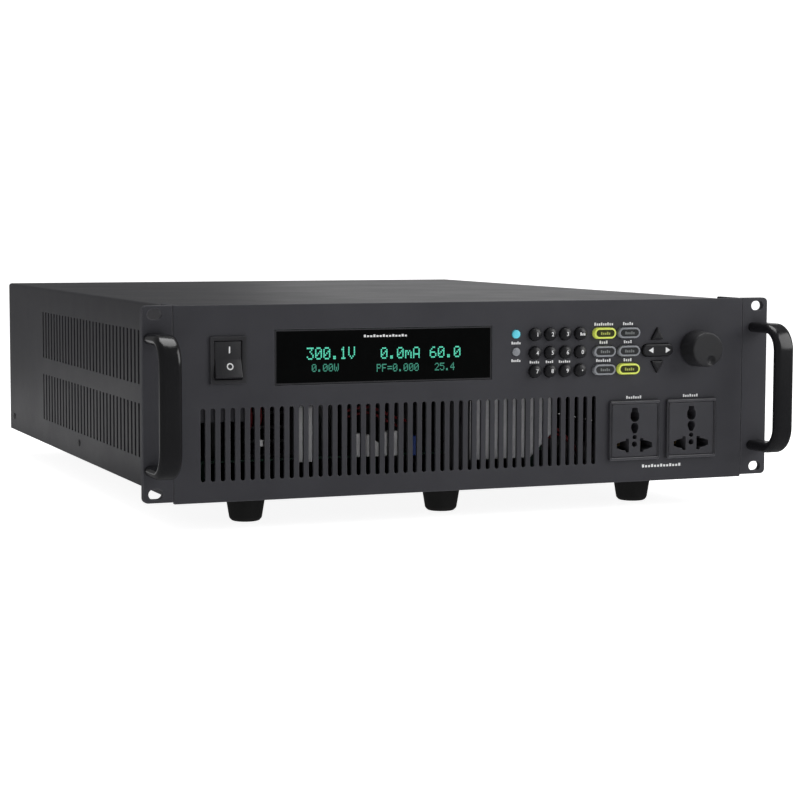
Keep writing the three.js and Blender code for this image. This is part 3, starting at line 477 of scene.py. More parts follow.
# ---------------- front panel
panel_low, panel_high = span("front_panel")
face, back = panel_low[1], panel_high[1]
NUMBER_KEYS = [f"key_{word}" for word in "1 2 3 escape 4 5 6 0 7 8 9 point".split()]
SMALL_KEYS = ["key_shift", "key_local"]
PILL_KEYS = [f"key_{word}" for word in "volts frequency recall select enter output".split()]
ARROW_KEYS = (("key_up", 90), ("key_down", -90))
VENT_FIRST, VENT_PITCH, VENT_COUNT, VENT_WIDTH, VENT_HEIGHT = -199.5, 7.04, 43, 3.4, 50.0
body_z = middle("front_panel")[2]
VENT_Z = body_z - 27.7


def reach(node):
    """Half the width and half the height of a key's cap."""
    low, high = span(node)
    return (high[0] - low[0]) / 2 - KEY_FLANGE, (high[2] - low[2]) / 2 - KEY_FLANGE


def arrow_key(name, start):
    """The middle of a three-sided key's inner circle, and its radius."""
    low, high = span(name)
    inradius = (high[2] - low[2]) / 3
    return (low[0] + high[0]) / 2, low[2] + inradius if start > 0 else high[2] - inradius, inradius


def front_panel():
    holes = []
    for name in NUMBER_KEYS + SMALL_KEYS:
        x, _, z = middle(name)
        holes.append(circle(reach(name)[0] + RUN_GAP, x, z))
    for name in PILL_KEYS + ["key_left_right"]:
        x, _, z = middle(name)
        a, b = reach(name)
        side_gap = RUN_GAP if name in PILL_KEYS else 2 * RUN_GAP
        holes.append(oval(2 * (a + side_gap), 2 * (b + RUN_GAP), x, z))
    for name, start in ARROW_KEYS:
        x, z, inradius = arrow_key(name, start)
        holes.append(triangle(inradius - KEY_FLANGE + RUN_GAP, start, x, z, 0.5))
    x, _, z = middle("knob")
    shaft_hole, fit, switch_lip = 5.0, 0.3, 1.2
    holes.append(circle(shaft_hole, x, z))
    for name in ("display_window", "outlet_insert_left", "outlet_insert_right"):
        holes.append(seen_from_front(name, fit))
    holes.append(seen_from_front("power_switch_body", -switch_lip))
    for i in range(VENT_COUNT):
        holes.append(oval(VENT_WIDTH, VENT_HEIGHT, VENT_FIRST + i * VENT_PITCH, VENT_Z, 8))
    bm = bmesh.new()
    plate(bm, seen_from_front("front_panel", 0.0, 0.6), face, back, holes, 0.3, margin=0.25)
    piece("panel_front_sheet", bm, "panel_paint", replaces=["front_panel"])


def rack_ears():
    corner, seam_gap, lap, sheet = 3.5, 0.3, 1.2, 5
    flange_from, flange_to, flange_sheet = 3.3, 32, 2.8
    slot_in, slot_up = 8.75, 5.95  # a rack slot's middle from the outer edge and from the nearest end
    for side, name in ((-1, "rack_ear_left"), (1, "rack_ear_right")):
        low, high = span(name)
        inner, outer = (low[0], high[0]) if side > 0 else (-high[0], -low[0])
        seam = panel_high[0] + seam_gap
        z0, z1 = low[2], high[2]
        z = (z0 + z1) / 2
        lower = arc(corner, outer - corner, z0 + corner, -90, 0, 8)
        upper = arc(corner, outer - corner, z1 - corner, 0, 90, 8)
        holes = [oval(10, 7, outer - slot_in, slot_z) for slot_z in (z0 + slot_up, z1 - slot_up)]
        bm = bmesh.new()
        plate(bm, [(seam, z0)] + lower + upper + [(seam, z1)], face, face + sheet, holes, 0.45, margin=0.3)
        strip = rectangle(seam - inner + lap, z1 - z0 - 0.2, (seam + inner + lap) / 2, z, 0.6)
        plate(bm, strip, back + 0.3, face + sheet, edge=0.3)
        deep = flange_to - flange_from
        flange = rectangle(deep, z1 - z0, face + flange_from + deep / 2, z, 1.2)
        plate(bm, flange, inner, inner + flange_sheet, edge=0.4, axis="x", margin=0.3)
        if side < 0:
            bmesh.ops.scale(bm, vec=(-1, 1, 1), verts=bm.verts)
        piece(f"{name}_bracket", bm, "panel_paint", replaces=[name])
        bm = bmesh.new()
        for screw_z in (z0 + 16, z, z1 - 16):
            screw(bm, face + 21, screw_z, side * (inner + flange_sheet), side, "x", 3.2, flush=True)
        for screw_z in (z0 + 21.9, z1 - 21.9):
            screw(bm, side * (outer - slot_in), screw_z, face + sheet, 1, "y", 4.2, 1.8)
        piece(f"{name}_screws", bm, "screw_steel")


def handles():
    for name in ("handle_left", "handle_right"):
        low, high = span(name)
        gauge, bend = 7.4, 16.0
        x, top, bottom = middle(name)[0], high[2] - gauge / 2, low[2] + gauge / 2
        front, rear = low[1] + gauge / 2, high[1]
        path = [Vector((x, rear, top)), Vector((x, (rear + front + bend) / 2, top))]
        path += [Vector((x, y, z)) for y, z in arc(bend, front + bend, top - bend, 90, 180, 14)]
        path += [Vector((x, front, top - bend - (top - bottom - 2 * bend) * k / 8)) for k in range(1, 8)]
        path += [Vector((x, y, z)) for y, z in arc(bend, front + bend, bottom + bend, 180, 270, 14)]
        path += [Vector((x, (rear + front + bend) / 2, bottom)), Vector((x, rear, bottom))]
        bm = bmesh.new()
        sweep(bm, path, oval(high[0] - low[0], gauge, steps=12))
        piece(f"{name}_bar", bm, "handle_gloss", replaces=[name], sharp=50)


def feet():
    recess, bore = 11, 3.4
    for row in ("front", "rear"):
        for column in ("left", "middle", "right"):
            name = f"foot_{row}_{column}"
            x, y, _ = middle(name)
            wide, _, height = extent(name)
            top = wide / 2
            outer = [(bore, recess), (bore, 0), (9.5, 0), (11.5, 2)]
            outer += [(top - 0.25, height - 1.6), (top, height), (0, height)]
            bm = bmesh.new()
            lathe(bm, [(0, recess)] + smoothed(outer, 0.9, 4), x, y, 48, "z")
            piece(f"{name}_bumper", bm, "foot_rubber", replaces=[name])
            bm = bmesh.new()
            screw(bm, x, y, recess, -1, "z", 2.9, 1.6)
            piece(f"{name}_screw", bm, "bright_steel")


# ---------------- display
FONT = {
    "0": "01110 10001 10011 10101 11001 10001 01110", "1": "00100 01100 00100 00100 00100 00100 01110",
    "2": "01110 10001 00001 00010 00100 01000 11111", "3": "11111 00010 00100 00010 00001 10001 01110",
    "4": "00010 00110 01010 10010 11111 00010 00010", "5": "11111 10000 11110 00001 00001 10001 01110",
    "6": "00110 01000 10000 11110 10001 10001 01110", ".": "00000 00000 00000 00000 00000 01100 01100",
    "V": "10001 10001 10001 10001 10001 01010 00100", "A": "01110 10001 10001 10001 11111 10001 10001",
    "m": "00000 00000 11010 10101 10101 10001 10001", "W": "10001 10001 10001 10101 10101 10101 01010",
    "P": "11110 10001 10001 11110 10000 10000 10000", "F": "11111 10000 10000 11110 10000 10000 10000",
    "=": "00000 00000 11111 00000 11111 00000 00000",
}


def readout(name, words, left, right, bottom, top, w, paint):
    bm = bmesh.new()
    cell = (right - left) / (len(words) * 6 - 1)
    tall = (top - bottom) / 7
    for k, letter in enumerate(words):
        for row, line in enumerate(FONT[letter].split()):
            for column, lit in enumerate(line):
                if lit == "1":
                    x = left + (k * 6 + column + 0.5) * cell
                    dot = rectangle(cell * 0.86, tall * 0.84, x, top - (row + 0.5) * tall)
                    plate(bm, dot, w - 0.03, w + 0.02, edge=0.0, steps=1)
    piece(name, bm, paint)


READOUTS = (  # name, characters, left, right, bottom, top; the first three are bright
    ("voltage", "300.1V", -125.1, -89.6, 115.6, 124.1),
    ("current", "0.0mA", -70.5, -41.1, 115.1, 123.1),
    ("frequency", "60.0", -33.5, -9.9, 115.0, 123.0),
    ("power", "0.00W", -121.4, -101.7, 107.3, 112.6),
    ("factor", "PF=0.000", -73.5, -41.8, 106.1, 111.6),
    ("time", "25.4", -29.6, -14.3, 106.0, 111.4),
)


def display():
    low, high = span("display_window")
    bm = bmesh.new()
    plate(bm, seen_from_front("display_window"), low[1], high[1], edge=0.25)
    piece("window_lens", bm, "window_gloss", replaces=["display_window"])
    bm = bmesh.new()
    inner, outer = seen_from_front("display_window", -1.0, 0.4), seen_from_front("display_window", -0.05)
    plate(bm, outer, low[1] - 0.12, low[1] + 0.1, [inner], 0.08)
    piece("window_border", bm, "switch_plastic")
    for k, (name, words, *place) in enumerate(READOUTS):
        readout(f"readout_{name}", words, *place, low[1], "display_glow" if k < 3 else "display_faint")
    dress("display_module", "circuit_board", 0.2)


# ---------------- power switch
def power_switch():
    dress("power_switch_body", "switch_plastic", 0.45)
    width = extent("power_rocker")[0]
    x, z = middle("power_rocker")[0], middle("key_left_right")[2]  # its pivot is level with the rocking key
    radius, sunk, throw, pivot = 12.9, 2.5, 16.0, face + 1.5
    half = throw / 2
    tip = math.degrees(math.acos(sunk / radius)) - half
    turns = [math.radians(tip + (90 + half - tip) * k / 12) for k in range(13)]
    upper = [(-radius * math.cos(a), radius * math.sin(a)) for a in turns]
    crown = (-sunk / math.cos(math.radians(half)), 0.0)
    profile = [crown] + upper + [(3.5, 4), (3.5, -4)] + [(y, -v) for y, v in reversed(upper)]
    turn = Matrix.Rotation(math.radians(-half), 2)
    sides = [turn @ Vector(p) for p in rounded(profile, 0.5, 3)]
    bm = bmesh.new()
    plate(bm, [(pivot + p.x, z + p.y) for p in sides], x - width / 2, x + width / 2, edge=0.6, axis="x")
    piece("rocker_cap", bm, "switch_plastic", "power_rocker", ["power_rocker"])

    upper_end, crest, lower_end = [turn @ Vector(p) for p in (upper[0], crown, (upper[0][0], -upper[0][1]))]

    def on_rocker(offset):
        """The rocker's front face at a height from its pivot."""
        end = upper_end if offset > crest.y else lower_end
        return pivot + crest.x + (end.x - crest.x) * (offset - crest.y) / (end.y - crest.y)

    ink = 0.03
    bm = bmesh.new()
    plate(bm, rectangle(0.9, 4.6, x + 1, z + 7.0, 0.3), -ink, ink, edge=0.0, steps=1)
    ring, hole = [circle(r, x + 1, z - 4.2, 32) for r in (2.35, 1.5)]
    plate(bm, ring, -ink, ink, [hole], 0.0, steps=1)
    for vert in bm.verts:
        vert.co.y += on_rocker(vert.co.z - z) - ink
    piece("rocker_marks", bm, "legend_ink", "power_rocker")


# ---------------- keys
def round_key(name, paint, dome):
    """A domed key. It gives back its place and how far a mark at (u, v) is set back to lie on it."""
    low, high = span(name)
    x, _, z = middle(name)
    radius, top = reach(name)[0], low[1]
    seat, wide = high[1] - FLANGE_SHEET, radius + KEY_FLANGE

    def fall(away):
        return dome * (min(away, radius) / radius) ** 2.6

    profile = [(0, top)] + [(radius * k / 10, top + fall(radius * k / 10)) for k in range(1, 10)]
    skirt = [(radius, top + dome), (radius, seat), (wide, seat), (wide, high[1]), (0, high[1])]
    bm = bmesh.new()
    lathe(bm, profile + smoothed([profile[-1]] + skirt, 0.25, 3)[1:], x, z, 40)
    piece(f"{name}_cap", bm, paint, name, [name], sharp=50)
    return x, z, top, lambda u, v: fall(math.hypot(u - x, v - z)) - 0.1


def number_keys():
    lean = 0.35  # the digits stand right of the middle
    for name in NUMBER_KEYS:
        x, z, top, drop = round_key(name, "key_rubber", 1.7)
        if name == "key_escape":
            bm = bmesh.new()
            legend(bm, 3, 4.4, 2.2, x + lean, z, top)
            for vert in bm.verts:
                vert.co.y += drop(vert.co.x, vert.co.z)
            piece("key_escape_mark", bm, "legend_ink", name)
        else:
            words, size, rise = (".", 6.2, 1.7) if name == "key_point" else (name[-1], 4.1, 0.0)
            lettering(f"{name}_mark", words, size, x + lean, z + rise, top, "legend_ink", name, drop)


def oval_key(bm, name, front, edge, steps, sides):
    """An oval cap that stands on its flange."""
    rear = span(name)[1][1]
    x, _, z = middle(name)
    a, b = reach(name)
    plate(bm, oval(2 * a, 2 * b, x, z, sides), front, rear - FLANGE_SHEET, edge=edge, steps=steps)
    flange = oval(2 * (a + KEY_FLANGE), 2 * (b + KEY_FLANGE), x, z, sides)
    plate(bm, flange, rear - FLANGE_SHEET, rear, edge=0.15)


def pill_keys():
    for name in PILL_KEYS:
        top = span(name)[0][1]
        x, _, z = middle(name)
        a, b = reach(name)
        rim, label, mark = ("key_grey", "label_dark", "label_ink")
        if name in ("key_volts", "key_output"):
            rim, label, mark = ("key_lime", "label_olive", "lit_ink")
        bm = bmesh.new()
        oval_key(bm, name, top + 0.05, 0.8, 4, 14)
        piece(f"{name}_rim", bm, rim, name, [name])
        bm = bmesh.new()
        plate(bm, oval(2 * a - 2.9, 2 * b - 2.6, x, z, 14), top, top + 0.6, edge=0.05)
        piece(f"{name}_label", bm, label, name)
        bm = bmesh.new()
        legend(bm, 5, 8.0, 2.1, x, z, top)
        piece(f"{name}_mark", bm, mark, name)


def arrow_keys():
    for name, start in ARROW_KEYS:
        low, high = span(name)
        seat = high[1] - FLANGE_SHEET
        x, z, inradius = arrow_key(name, start)
        cap = inradius - KEY_FLANGE
        bm = bmesh.new()
        plate(bm, triangle(cap, start, x, z, 1.3), low[1] + 0.4, seat, edge=0.5)
        plate(bm, triangle(cap - 0.85, start, x, z, 0.9), low[1], low[1] + 1, edge=0.35)
        plate(bm, triangle(inradius, start, x, z), seat, high[1], edge=0.15)
        piece(f"{name}_cap", bm, "key_rubber", name, [name])
    top = span("key_left_right")[0][1]
    x, _, z = middle("key_left_right")
    bm = bmesh.new()
    oval_key(bm, "key_left_right", top, 0.9, 5, 16)
    piece("key_left_right_cap", bm, "key_rubber", "key_left_right", ["key_left_right"])
    bm = bmesh.new()
    for side, start in ((-1, 180), (1, 0)):
        arrow = triangle(1.25, start, x + 1.0 + side * 6.4, z, 0.15)
        plate(bm, arrow, top - 0.03, top + 0.03, edge=0.0, steps=1)
    piece("key_left_right_arrows", bm, "legend_ink", "key_left_right")


def keys():
    number_keys()
    round_key("key_shift", "key_cyan", 0.6)
    round_key("key_local", "key_grey", 0.6)
    pill_keys()
    arrow_keys()
    dress("keypad_board", "circuit_board", 0.2)


def legends():
    """Plain marks on the panel where the object carries words."""
    counts = {"key_volts": 9, "key_frequency": 5, "key_enter": 7}
    # a node, how many marks, the row's width and height, and how far it stands over the node's middle
    rows = [(name, counts.get(name, 4), 1.75 * counts.get(name, 4), 2.2, 6.6) for name in PILL_KEYS]
    rows += [(name, 5, 7.6, 2.0, -6.3) for name in SMALL_KEYS]
    rows += [(f"key_{digit}", count, 1.6 * count, 1.9, 6.6) for digit, count in ((7, 5), (8, 4), (9, 6))]
    rows += [(f"outlet_bezel_{side}", 7, 13.0, 2.1, 24.2) for side in ("left", "right")]
    bm = bmesh.new()
    for name, count, width, height, above in rows:
        x, _, z = middle(name)
        legend(bm, count, width, height, x, z + above, face)
    between = (middle("outlet_bezel_left")[0] + middle("outlet_bezel_right")[0]) / 2
    legend(bm, 13, 33.0, 2.2, between, 31.5, face)
    piece("panel_legends", bm, "legend_ink")
    bm = bmesh.new()
    low, high = span("display_window")
    legend(bm, 14, 33.0, 1.7, -67.0, high[2] - 5.2, low[1] - 0.01)
    piece("window_legend", bm, "legend_ink")


# ---------------- knob
def knob():
    low, high = span("knob")
    x, _, z = middle("knob")
    radius, top, rear = (high[0] - low[0]) / 2, low[1], high[1]
    front, inner, bore = radius - 0.6, radius - 2.4, 3.4
    flat, web, blind = front - 2.6, rear - 7, rear - 13.5
    shell = [(flat, top), (front, top), (radius, rear), (inner, rear), (inner, web)]
    shell += [(bore, web), (bore, blind)]
    rings = [(flat * k / 26, top) for k in range(27)]
    bm = bmesh.new()
    lathe(bm, rings + smoothed(shell, 1.5, 6)[1:] + [(0, blind)], x, z, 96)
    angle, from_axis, dimple, dimple_depth = math.radians(-70), 8.4, 3.3, 1.9
    at = Vector((x + from_axis * math.cos(angle), z + from_axis * math.sin(angle)))
    for vert in bm.verts:
        away = (Vector((vert.co.x, vert.co.z)) - at).length
        if abs(vert.co.y - top) < 1e-3 and away < dimple:
            vert.co.y += dimple_depth * (1 - (away / dimple) ** 2) ** 0.7
    piece("knob_cap", bm, "knob_plastic", "knob", ["knob"], sharp=40)
    dress("encoder_shaft", "bare_metal", 0.2)
    dress("encoder_body", "bare_metal", 0.2)


# ---------------- outlets
def outlet_wells(x, z):
    """The openings of a universal outlet: earth slot, keyhole, two pins and two side clusters."""
    earth = rounded(symmetric([(-2.3, 16.6), (-2.3, 14.2), (-3.6, 12.6), (-3.6, 8.6), (-1.8, 6.2)]), 0.9)
    keyhole = rounded(symmetric([(-1.8, 5.5), (-3.1, 3.6), (-3.1, 1.4), (-1.2, -2.4)]), 1.0)
    pins = [circle(1.75, 0, -5.0, 24), circle(2.15, 0, -10.2, 24)]
    cluster = [(4.6, -5.9), (7.3, -5.9), (7.3, -7.4), (11.5, -8.0), (13.0, -8.9), (14.6, -9.2), (14.6, -12.9),
               (13.0, -13.2), (11.5, -14.1), (7.3, -14.7), (7.3, -16.2), (4.6, -16.2)]
    clusters = [rounded([(side * u, v) for u, v in cluster], 0.4, 3) for side in (1, -1)]
    return [[(x + u, z + v) for u, v in well] for well in (earth, keyhole, *pins, *clusters)]


def outlets():
    well_depth = 17
    for side in ("left", "right"):
        bezel, insert = f"outlet_bezel_{side}", f"outlet_insert_{side}"
        low, high = span(bezel)
        inner_low, inner_high = span(insert)
        x, _, z = middle(bezel)
        wide, _, tall = extent(insert)
        bm = bmesh.new()
        outline, opening = seen_from_front(bezel, 0.0, 1.2), rectangle(wide + 0.6, tall + 0.6, x, z, 0.4)
        plate(bm, outline, low[1], high[1], [opening], 0.9, steps=4, far_edge=0.1, margin=0.15)
        piece(f"outlet_{side}_bezel_frame", bm, "outlet_plastic", replaces=[bezel])
        front, deep = inner_low[1], inner_low[1] + well_depth
        outline = rectangle(wide, tall, x, z, 0.6)
        bm = bmesh.new()
        plate(bm, outline, front, deep, outlet_wells(x, z), 0.25, far_edge=0.0, margin=0.12)
        plate(bm, outline, deep, inner_high[1], edge=0.0, far_edge=0.3)
        piece(f"outlet_{side}_face", bm, "outlet_plastic", replaces=[insert])
        bm = bmesh.new()
        for u, v, a, b in ((0, 10.4, 3.4, 4.0), (8.6, -11, 5.6, 3.2), (-8.6, -11, 5.6, 3.2)):
            sleeve, gap = rectangle(a, b, x + u, z + v, 0.5), rectangle(a - 1.6, b - 1.6, x + u, z + v, 0.2)
            plate(bm, sleeve, deep - 5, deep - 0.2, [gap], 0.15)
        piece(f"outlet_{side}_contacts", bm, "contact_brass")


# ---------------- case, rear and inside
def case():
    dress("top_cover", "case_paint", 0.25)
    dress("bottom_tray", "case_paint", 0.3)
    low, high = span("top_cover")
    for side, w in ((-1, low[0]), (1, high[0])):
        bm = bmesh.new()
        for y in (38, 282, 527):
            screw(bm, face + y, body_z - 53.5, w, side, "x", 2.9, 1.0)
        piece("case_screws_left" if side < 0 else "case_screws_right", bm, "screw_steel")
    low, high = span("bottom_tray")
    bm = bmesh.new()
    for x in (-195, -80, 80, 195):
        for y in (20, 272, 520):
            screw(bm, x, face + y, low[2], -1, "z", 2.9, 1.0)
    piece("tray_screws", bm, "screw_steel")


def fan_grille(x, z):
    """Upright slots in a round field."""
    pitch, field, shortest = 7.4, 35.5, 12
    slots = [(i * pitch, 2 * math.sqrt(field**2 - (i * pitch) ** 2)) for i in range(-4, 5)]
    return [oval(4, length, x + offset, z, 8) for offset, length in slots if length > shortest]


def rear_panel():
    low, high = span("rear_panel")
    y1, top, foot = high[1], high[2], low[2]
    corner, sheet, lip = 1.2, 1.5, 12
    a = (high[0] - low[0]) / 2
    outline = [(-a, foot), (a, foot), (a, top - corner), (a - corner, top)]
    outline += [(corner - a, top), (-a, top - corner)]
    fans = [middle(f"fan_housing_{side}") for side in ("left", "right")]
    holes = [slot for x, _, z in fans for slot in fan_grille(x, z)]
    inlet = middle("power_inlet")
    holes.append(rectangle(32.6, 24.6, inlet[0], inlet[2], 0.6))
    holes.append(seen_from_front("interface_module", 0.3))
    bm = bmesh.new()
    plate(bm, outline, y1 - sheet, y1, holes, 0.25, margin=0.25)
    b = a - 1.8
    block(bm, -b, b, y1 - lip, y1 - 0.8, foot + 1.8, foot + 3.3, 0.2)
    block(bm, -b, b, y1 - lip, y1 - 0.8, top - 1.5, top, 0.2)
    piece("rear_sheet", bm, "rear_paint", replaces=["rear_panel"])
    bm = bmesh.new()
    for u in (-205, -60, 20, 205):
        screw(bm, u, top - 7, y1, 1, "y", 2.9, 1.0)
        screw(bm, u, foot + 7, y1, 1, "y", 2.9, 1.0)
    reach_u = 35.75  # from a fan's axis to its screws
    for x, _, z in fans:
        for u in (-reach_u, reach_u):
            for v in (-reach_u, reach_u):
                screw(bm, x + u, z + v, y1, 1, "y", 3.4, 1.3)
    for u in (-18.72, 18.72):
        screw(bm, inlet[0] + u, inlet[2], span("power_inlet")[1][1], 1, "y", 1.6, flush=True)
    piece("rear_screws", bm, "screw_steel")


def inlet_and_terminals():
    high = span("power_inlet")[1]
    x, _, z = middle("power_inlet")
    dress("power_inlet", "socket_plastic", 0.35)
    bm = bmesh.new()
    a, b = 1.15, 3.15  # half a blade's width and height
    for u, v in ((x - 7, z - 2), (x, z + 2), (x + 7, z - 2)):
        block(bm, u - a, u + a, high[1] - 16.5, high[1] - 2.4, v - b, v + b, 0.3)
    piece("inlet_blades", bm, "contact_brass")
    dress("output_terminal_block", "terminal_plastic", 0.35)
    clamp_face = span("output_terminal_block")[1][1] - 7.8
    x, _, z = middle("output_terminal_block")
    clamps, screws = bmesh.new(), bmesh.new()
    for i in range(4):
        u = x + (i - 1.5) * 12.4
        block(clamps, u - 4.2, u + 4.2, clamp_face - 1.2, clamp_face, z - 9, z + 7, 0.25)
        screw(screws, u, z + 1, clamp_face, 1, "y", 3.5, 1.8)
    piece("terminal_clamps", clamps, "contact_brass")
    piece("terminal_screws", screws, "bright_steel")


def interface_ports():
    dress("interface_module", "bare_metal", 0.3)
    y = span("interface_module")[1][1]
    x, _, z = middle("interface_module")
    bm = bmesh.new()
    shell = rounded([(x - 9, z + 4.6), (x + 9, z + 4.6), (x + 7.6, z - 4.6), (x - 7.6, z - 4.6)], 1.6)
    plate(bm, shell, y - 0.5, y + 4.5, [inset(turned_way(shell, True), 0.9)], 0.3)
    plate(bm, shell, y - 0.5, y + 1.2, edge=0.1)
    piece("serial_port_shell", bm, "bright_steel")
    bm = bmesh.new()
    pin = [(0, y + 4.0), (0.45, y + 3.8), (0.45, y + 1.0), (0, y + 1.0)]
    for row, count in ((1.4, 5), (-1.4, 4)):
        for i in range(count):
            lathe(bm, pin, x + (i - (count - 1) / 2) * 2.75, z + row, 10)
    piece("serial_port_pins", bm, "contact_brass")
    bm = bmesh.new()
    port_x = x + 23
    opening = rectangle(9.4, 7.8, port_x, z, 0.4)
    plate(bm, rectangle(12, 10.4, port_x, z, 0.8), y - 0.5, y + 1.6, [opening], 0.3)
    plate(bm, rectangle(11, 9.4, port_x, z, 0.4), y - 0.5, y + 0.3, edge=0.1)
    piece("network_port_frame", bm, "socket_plastic")


def rotor_blade(bm, x, z, middle_w, turn):
    """A curved blade from the hub out, as two skins and the rim that joins them."""
    rows, columns, root, tip, half_sheet = 6, 8, 16, 34.5, 0.6
    lines = []
    for i in range(rows + 1):
        r = root + (tip - root) * i / rows
        pitch = math.radians(52 - 20 * i / rows)
        chord = 17 + 3 * i / rows
        line = []
        for t in (j / columns - 0.5 for j in range(columns + 1)):
            along, bow = t * chord, 1.5 * (0.25 - t * t)
            swing = (along * math.sin(pitch) + bow * math.cos(pitch)) / r
            depth = along * math.cos(pitch) * 0.9 - bow * math.sin(pitch)
            line.append((r, turn + swing + 0.18 * i / rows, middle_w + depth))
        lines.append(line)
    skins = []
    for shift in (-half_sheet, half_sheet):
        def placed(r, t, w):
            return bm.verts.new((x + r * math.cos(t), w + shift, z + r * math.sin(t)))
        skins.append([[placed(*point) for point in line] for line in lines])
    for i in range(rows):
        for j in range(columns):
            for g in skins:
                bm.faces.new((g[i][j], g[i][j + 1], g[i + 1][j + 1], g[i + 1][j]))
    rim = [(i, 0) for i in range(rows)] + [(rows, j) for j in range(columns)]
    rim += [(i, columns) for i in range(rows, 0, -1)] + [(0, j) for j in range(columns, 0, -1)]
    near, away = skins
    for (i, j), (k, m) in zip(rim, rim[1:] + rim[:1]):
        bm.faces.new((near[i][j], near[k][m], away[k][m], away[i][j]))


def fans():
    blades, hub, spindle = 7, 17, 2
    for side in ("left", "right"):
        dress(f"fan_housing_{side}", "fan_plastic", 0.4)
        name = f"fan_rotor_{side}"
        low, high = span(name)
        x, _, z = middle(name)
        front, rear, end = low[1], low[1] + 20, high[1]
        bm = bmesh.new()
        lathe(bm, smoothed([(0, front), (hub, front), (hub, rear), (0, rear)], 1.2, 4), x, z, 48)
        lathe(bm, [(0, rear - 0.5), (spindle, rear - 0.5), (spindle, end), (0, end)], x, z, 20)
        for k in range(blades):
            rotor_blade(bm, x, z, (front + rear) / 2, 2 * math.pi * k / blades)
        piece(f"{name}_blades", bm, "fan_plastic", name, [name])


def front_hardware(board):
    """What shows through the front vents: brackets on the board, a guard and the switch's shroud."""
    bm = bmesh.new()
    shelf = VENT_Z + 23.5
    block(bm, -127.2, -116.2, face + 12, face + 14, board - 1.2, shelf, 0.3)
    block(bm, -127.2, -116.2, face + 12, face + 32, shelf - 1.6, shelf, 0.3)
    near, away = face + 14, face + 22  # the upright parts: each one's x, width and height over the board
    for x, width, top in ((-81.5, 5.6, 17), (-74.5, 2.4, 16), (-61.5, 2.4, 17.5), (-55.0, 5.6, 18)):
        block(bm, x - width / 2, x + width / 2, near, away, board + 0.4, board + top, 0.5)
    leaning = [(-71.2, board + 0.4), (-65.6, board + 0.4), (-65.6, board + 9), (-71.2, board + 13.5)]
    plate(bm, rounded(leaning, 0.5), near, away)
    block(bm, -158.2, -155.0, face + 5, face + 9, VENT_Z - 3, VENT_Z + 2, 0.6)
    piece("board_brackets", bm, "board_metal")
    bm = bmesh.new()
    block(bm, -14.0, 1.6, face + 9, face + 10.5, VENT_Z - 25, VENT_Z + 25, 0.3)
    piece("cable_guard", bm, "socket_plastic")
    bm = bmesh.new()
    block(bm, -201, -167.5, face + 3.6, face + 28, VENT_Z + 15, VENT_Z + 29, 0.8)
    piece("switch_shroud", bm, "panel_paint")


def board_parts(board):
    bm = bmesh.new()
    banks = (  # height, radius and the (x, distance behind the face) of each capacitor
        (40, 11, ((-30, 60), (-58, 66), (-30, 92), (-58, 98))),
        (30, 9, ((20, 110), (44, 110))),
        (26, 8, ((-175, 60), (-175, 84))),
    )
    for height, radius, places in banks:
        top = board + height
        can = smoothed([(0, board), (radius, board), (radius, top), (radius - 1, top), (0, top)], 0.8, 3)
        for x, y in places:
            lathe(bm, can, x, face + y, 32, "z")
    piece("board_capacitors", bm, "socket_plastic")
    bm = bmesh.new()
    block(bm, -41.6, -37.0, face + 12, face + 20, board + 0.3, board + 14, 0.8)
    piece("board_film_part", bm, "part_blue")


# Dark sheets inside each side, just behind the side vents: painted shade, a dark sheet that makes the slots
# read as dark as the shaded inside.
def shade_sheets():
    low, high = span("top_cover")
    for side, w in (("left", low[0] + 7), ("right", high[0] - 7.6)):
        bm = bmesh.new()
        block(bm, w, w + 0.6, face + 36, high[1] - 40, low[2] + 22, high[2] - 6, 0.1)
        piece(f"shade_sheet_{side}", bm, "socket_plastic")


def board_wires():
    radius = 1.1
    bm = bmesh.new()
    for k, (x0, x1, rise) in enumerate(((-92, -40, 18), (-90, -44, 14), (64, 92, -3), (66, 96, -7))):
        z, run = VENT_Z + rise, x1 - x0
        sag = [(x0 + run * 0.35, face + 15 + k, z + 3), (x0 + run * 0.7, face + 17, z - 4)]
        wire(bm, [(x0, face + 20, z), *sag, (x1, face + 26, z - 9 - k)], radius)
    for u, z0, z1 in ((-165, 8, 24), (-158, 10, 25), (-11, 6, 20), (-5, 8, 22)):
        places = [(u, 6.6, z0), (u + 2, 7.6, (z0 + z1) / 2), (u + 1, 6.8, z1)]
        wire(bm, [(x, face + y, VENT_Z + z) for x, y, z in places], radius)
    piece("board_wires", bm, "wire_red")


def inside():
    dress("main_board", "circuit_board", 0.2)
    dress("heatsink", "black_metal", 0.3)
    dress("transformer", "core_iron", 0.5)
    dress("display_shelf", "shelf_metal", 0.25)
    board = span("main_board")[1][2]
    front_hardware(board)
    board_parts(board)
    # dark sheets of painted shade behind the side vents
    shade_sheets()
    board_wires()


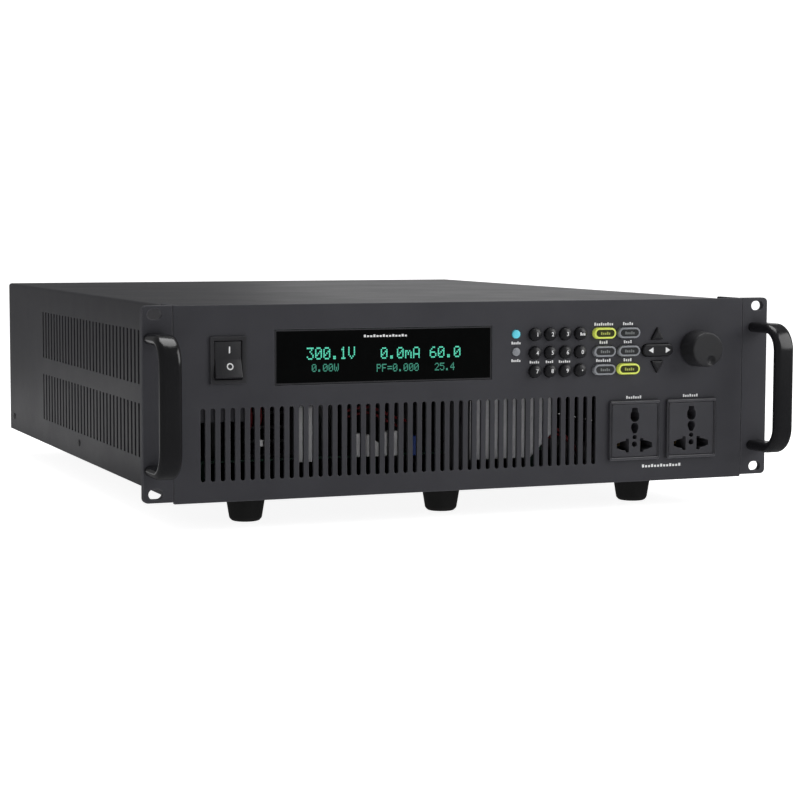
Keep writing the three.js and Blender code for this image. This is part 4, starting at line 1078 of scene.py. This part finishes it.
# ---------------- the room, the light and the camera
def studio_floor():
    """A floor that curves up into a wall behind the object, in metres."""
    near, curve_from, radius, height, half_width, sunk = -6.0, 2.2, 1.2, 6.0, 7.0, 0.0002
    turns = [math.pi / 2 * k / 12 for k in range(1, 13)]
    curve = [(curve_from + radius * math.sin(t), radius - radius * math.cos(t)) for t in turns]
    path = [(near, 0.0), (curve_from, 0.0)] + curve + [(curve_from + radius, height)]
    bm = bmesh.new()
    rows = [[bm.verts.new((x, y, z - sunk)) for x in (-half_width, half_width)] for y, z in path]
    for a, b in zip(rows, rows[1:]):
        bm.faces.new((a[0], a[1], b[1], b[0]))
    mesh = bpy.data.meshes.new("studio_floor")
    bm.to_mesh(mesh)
    bm.free()
    mesh.shade_smooth()
    floor = stand("studio_floor", mesh)
    paint = finish("floor_white", (0.52, 0.52), (0.56, 0.56), 0.9, 40, 0.0, broad=2.0, specular=0.0,
                   glow=(1, 1), power=0.9)
    mesh.materials.append(paint)
    floor.visible_glossy = False


def lamp(name, at, target, size, watts):
    """A rectangular area light, in metres, that doesn't show to the camera."""
    data = bpy.data.lights.new(name, "AREA")
    data.shape, data.size, data.size_y, data.energy = "RECTANGLE", *size, watts
    made = stand(name, data)
    made.location = at
    made.visible_camera = False
    made.rotation_euler = (Vector(target) - Vector(at)).to_track_quat("-Z", "Y").to_euler()


def lights():
    world = bpy.data.worlds.new("studio")
    bpy.context.scene.world = world
    world.use_nodes = True
    background = world.node_tree.nodes["Background"].inputs
    background["Color"].default_value = (1, 1, 1, 1)
    background["Strength"].default_value = 0.15
    lamp("key_light", (0.95, -0.85, 0.7), (0.1, -0.1, 0.1), (1.0, 1.0), 9)
    lamp("top_light", (0.2, 0.2, 2.0), (0.1, 0.1, 0.1), (1.6, 1.2), 22)
    lamp("rear_light", (1.5, 2.6, 0.9), (0.1, 0.3, 0.1), (1.4, 1.0), 3.0)
    lamp("low_left_light", (-0.65, 0.45, 0.01), (-0.65, 0.45, 1), (0.8, 0.8), 1.0)


def camera():
    """The camera solved from the photograph: a place in metres and three turns in degrees."""
    heading, pitch, roll = ("Z", -22.2731), ("X", 90 - 4.9374), ("Z", 0.1727)
    data = bpy.data.cameras.new("camera")
    data.sensor_width, data.lens, data.clip_start, data.clip_end = 36, 94.42, 0.05, 50
    made = stand("camera", data)
    made.location = (-0.60980, -1.61133, 0.21221)
    a, b, c = [Matrix.Rotation(math.radians(turn), 3, axis) for axis, turn in (heading, pitch, roll)]
    made.rotation_euler = (a @ b @ c).to_euler()
    bpy.context.scene.camera = made
    bpy.context.scene.view_settings.view_transform = "Standard"


front_panel()
rack_ears()
handles()
feet()
display()
power_switch()
keys()
legends()
knob()
outlets()
case()
rear_panel()
inlet_and_terminals()
interface_ports()
fans()
inside()
studio_floor()
lights()
camera()

bpy.context.view_layer.update()
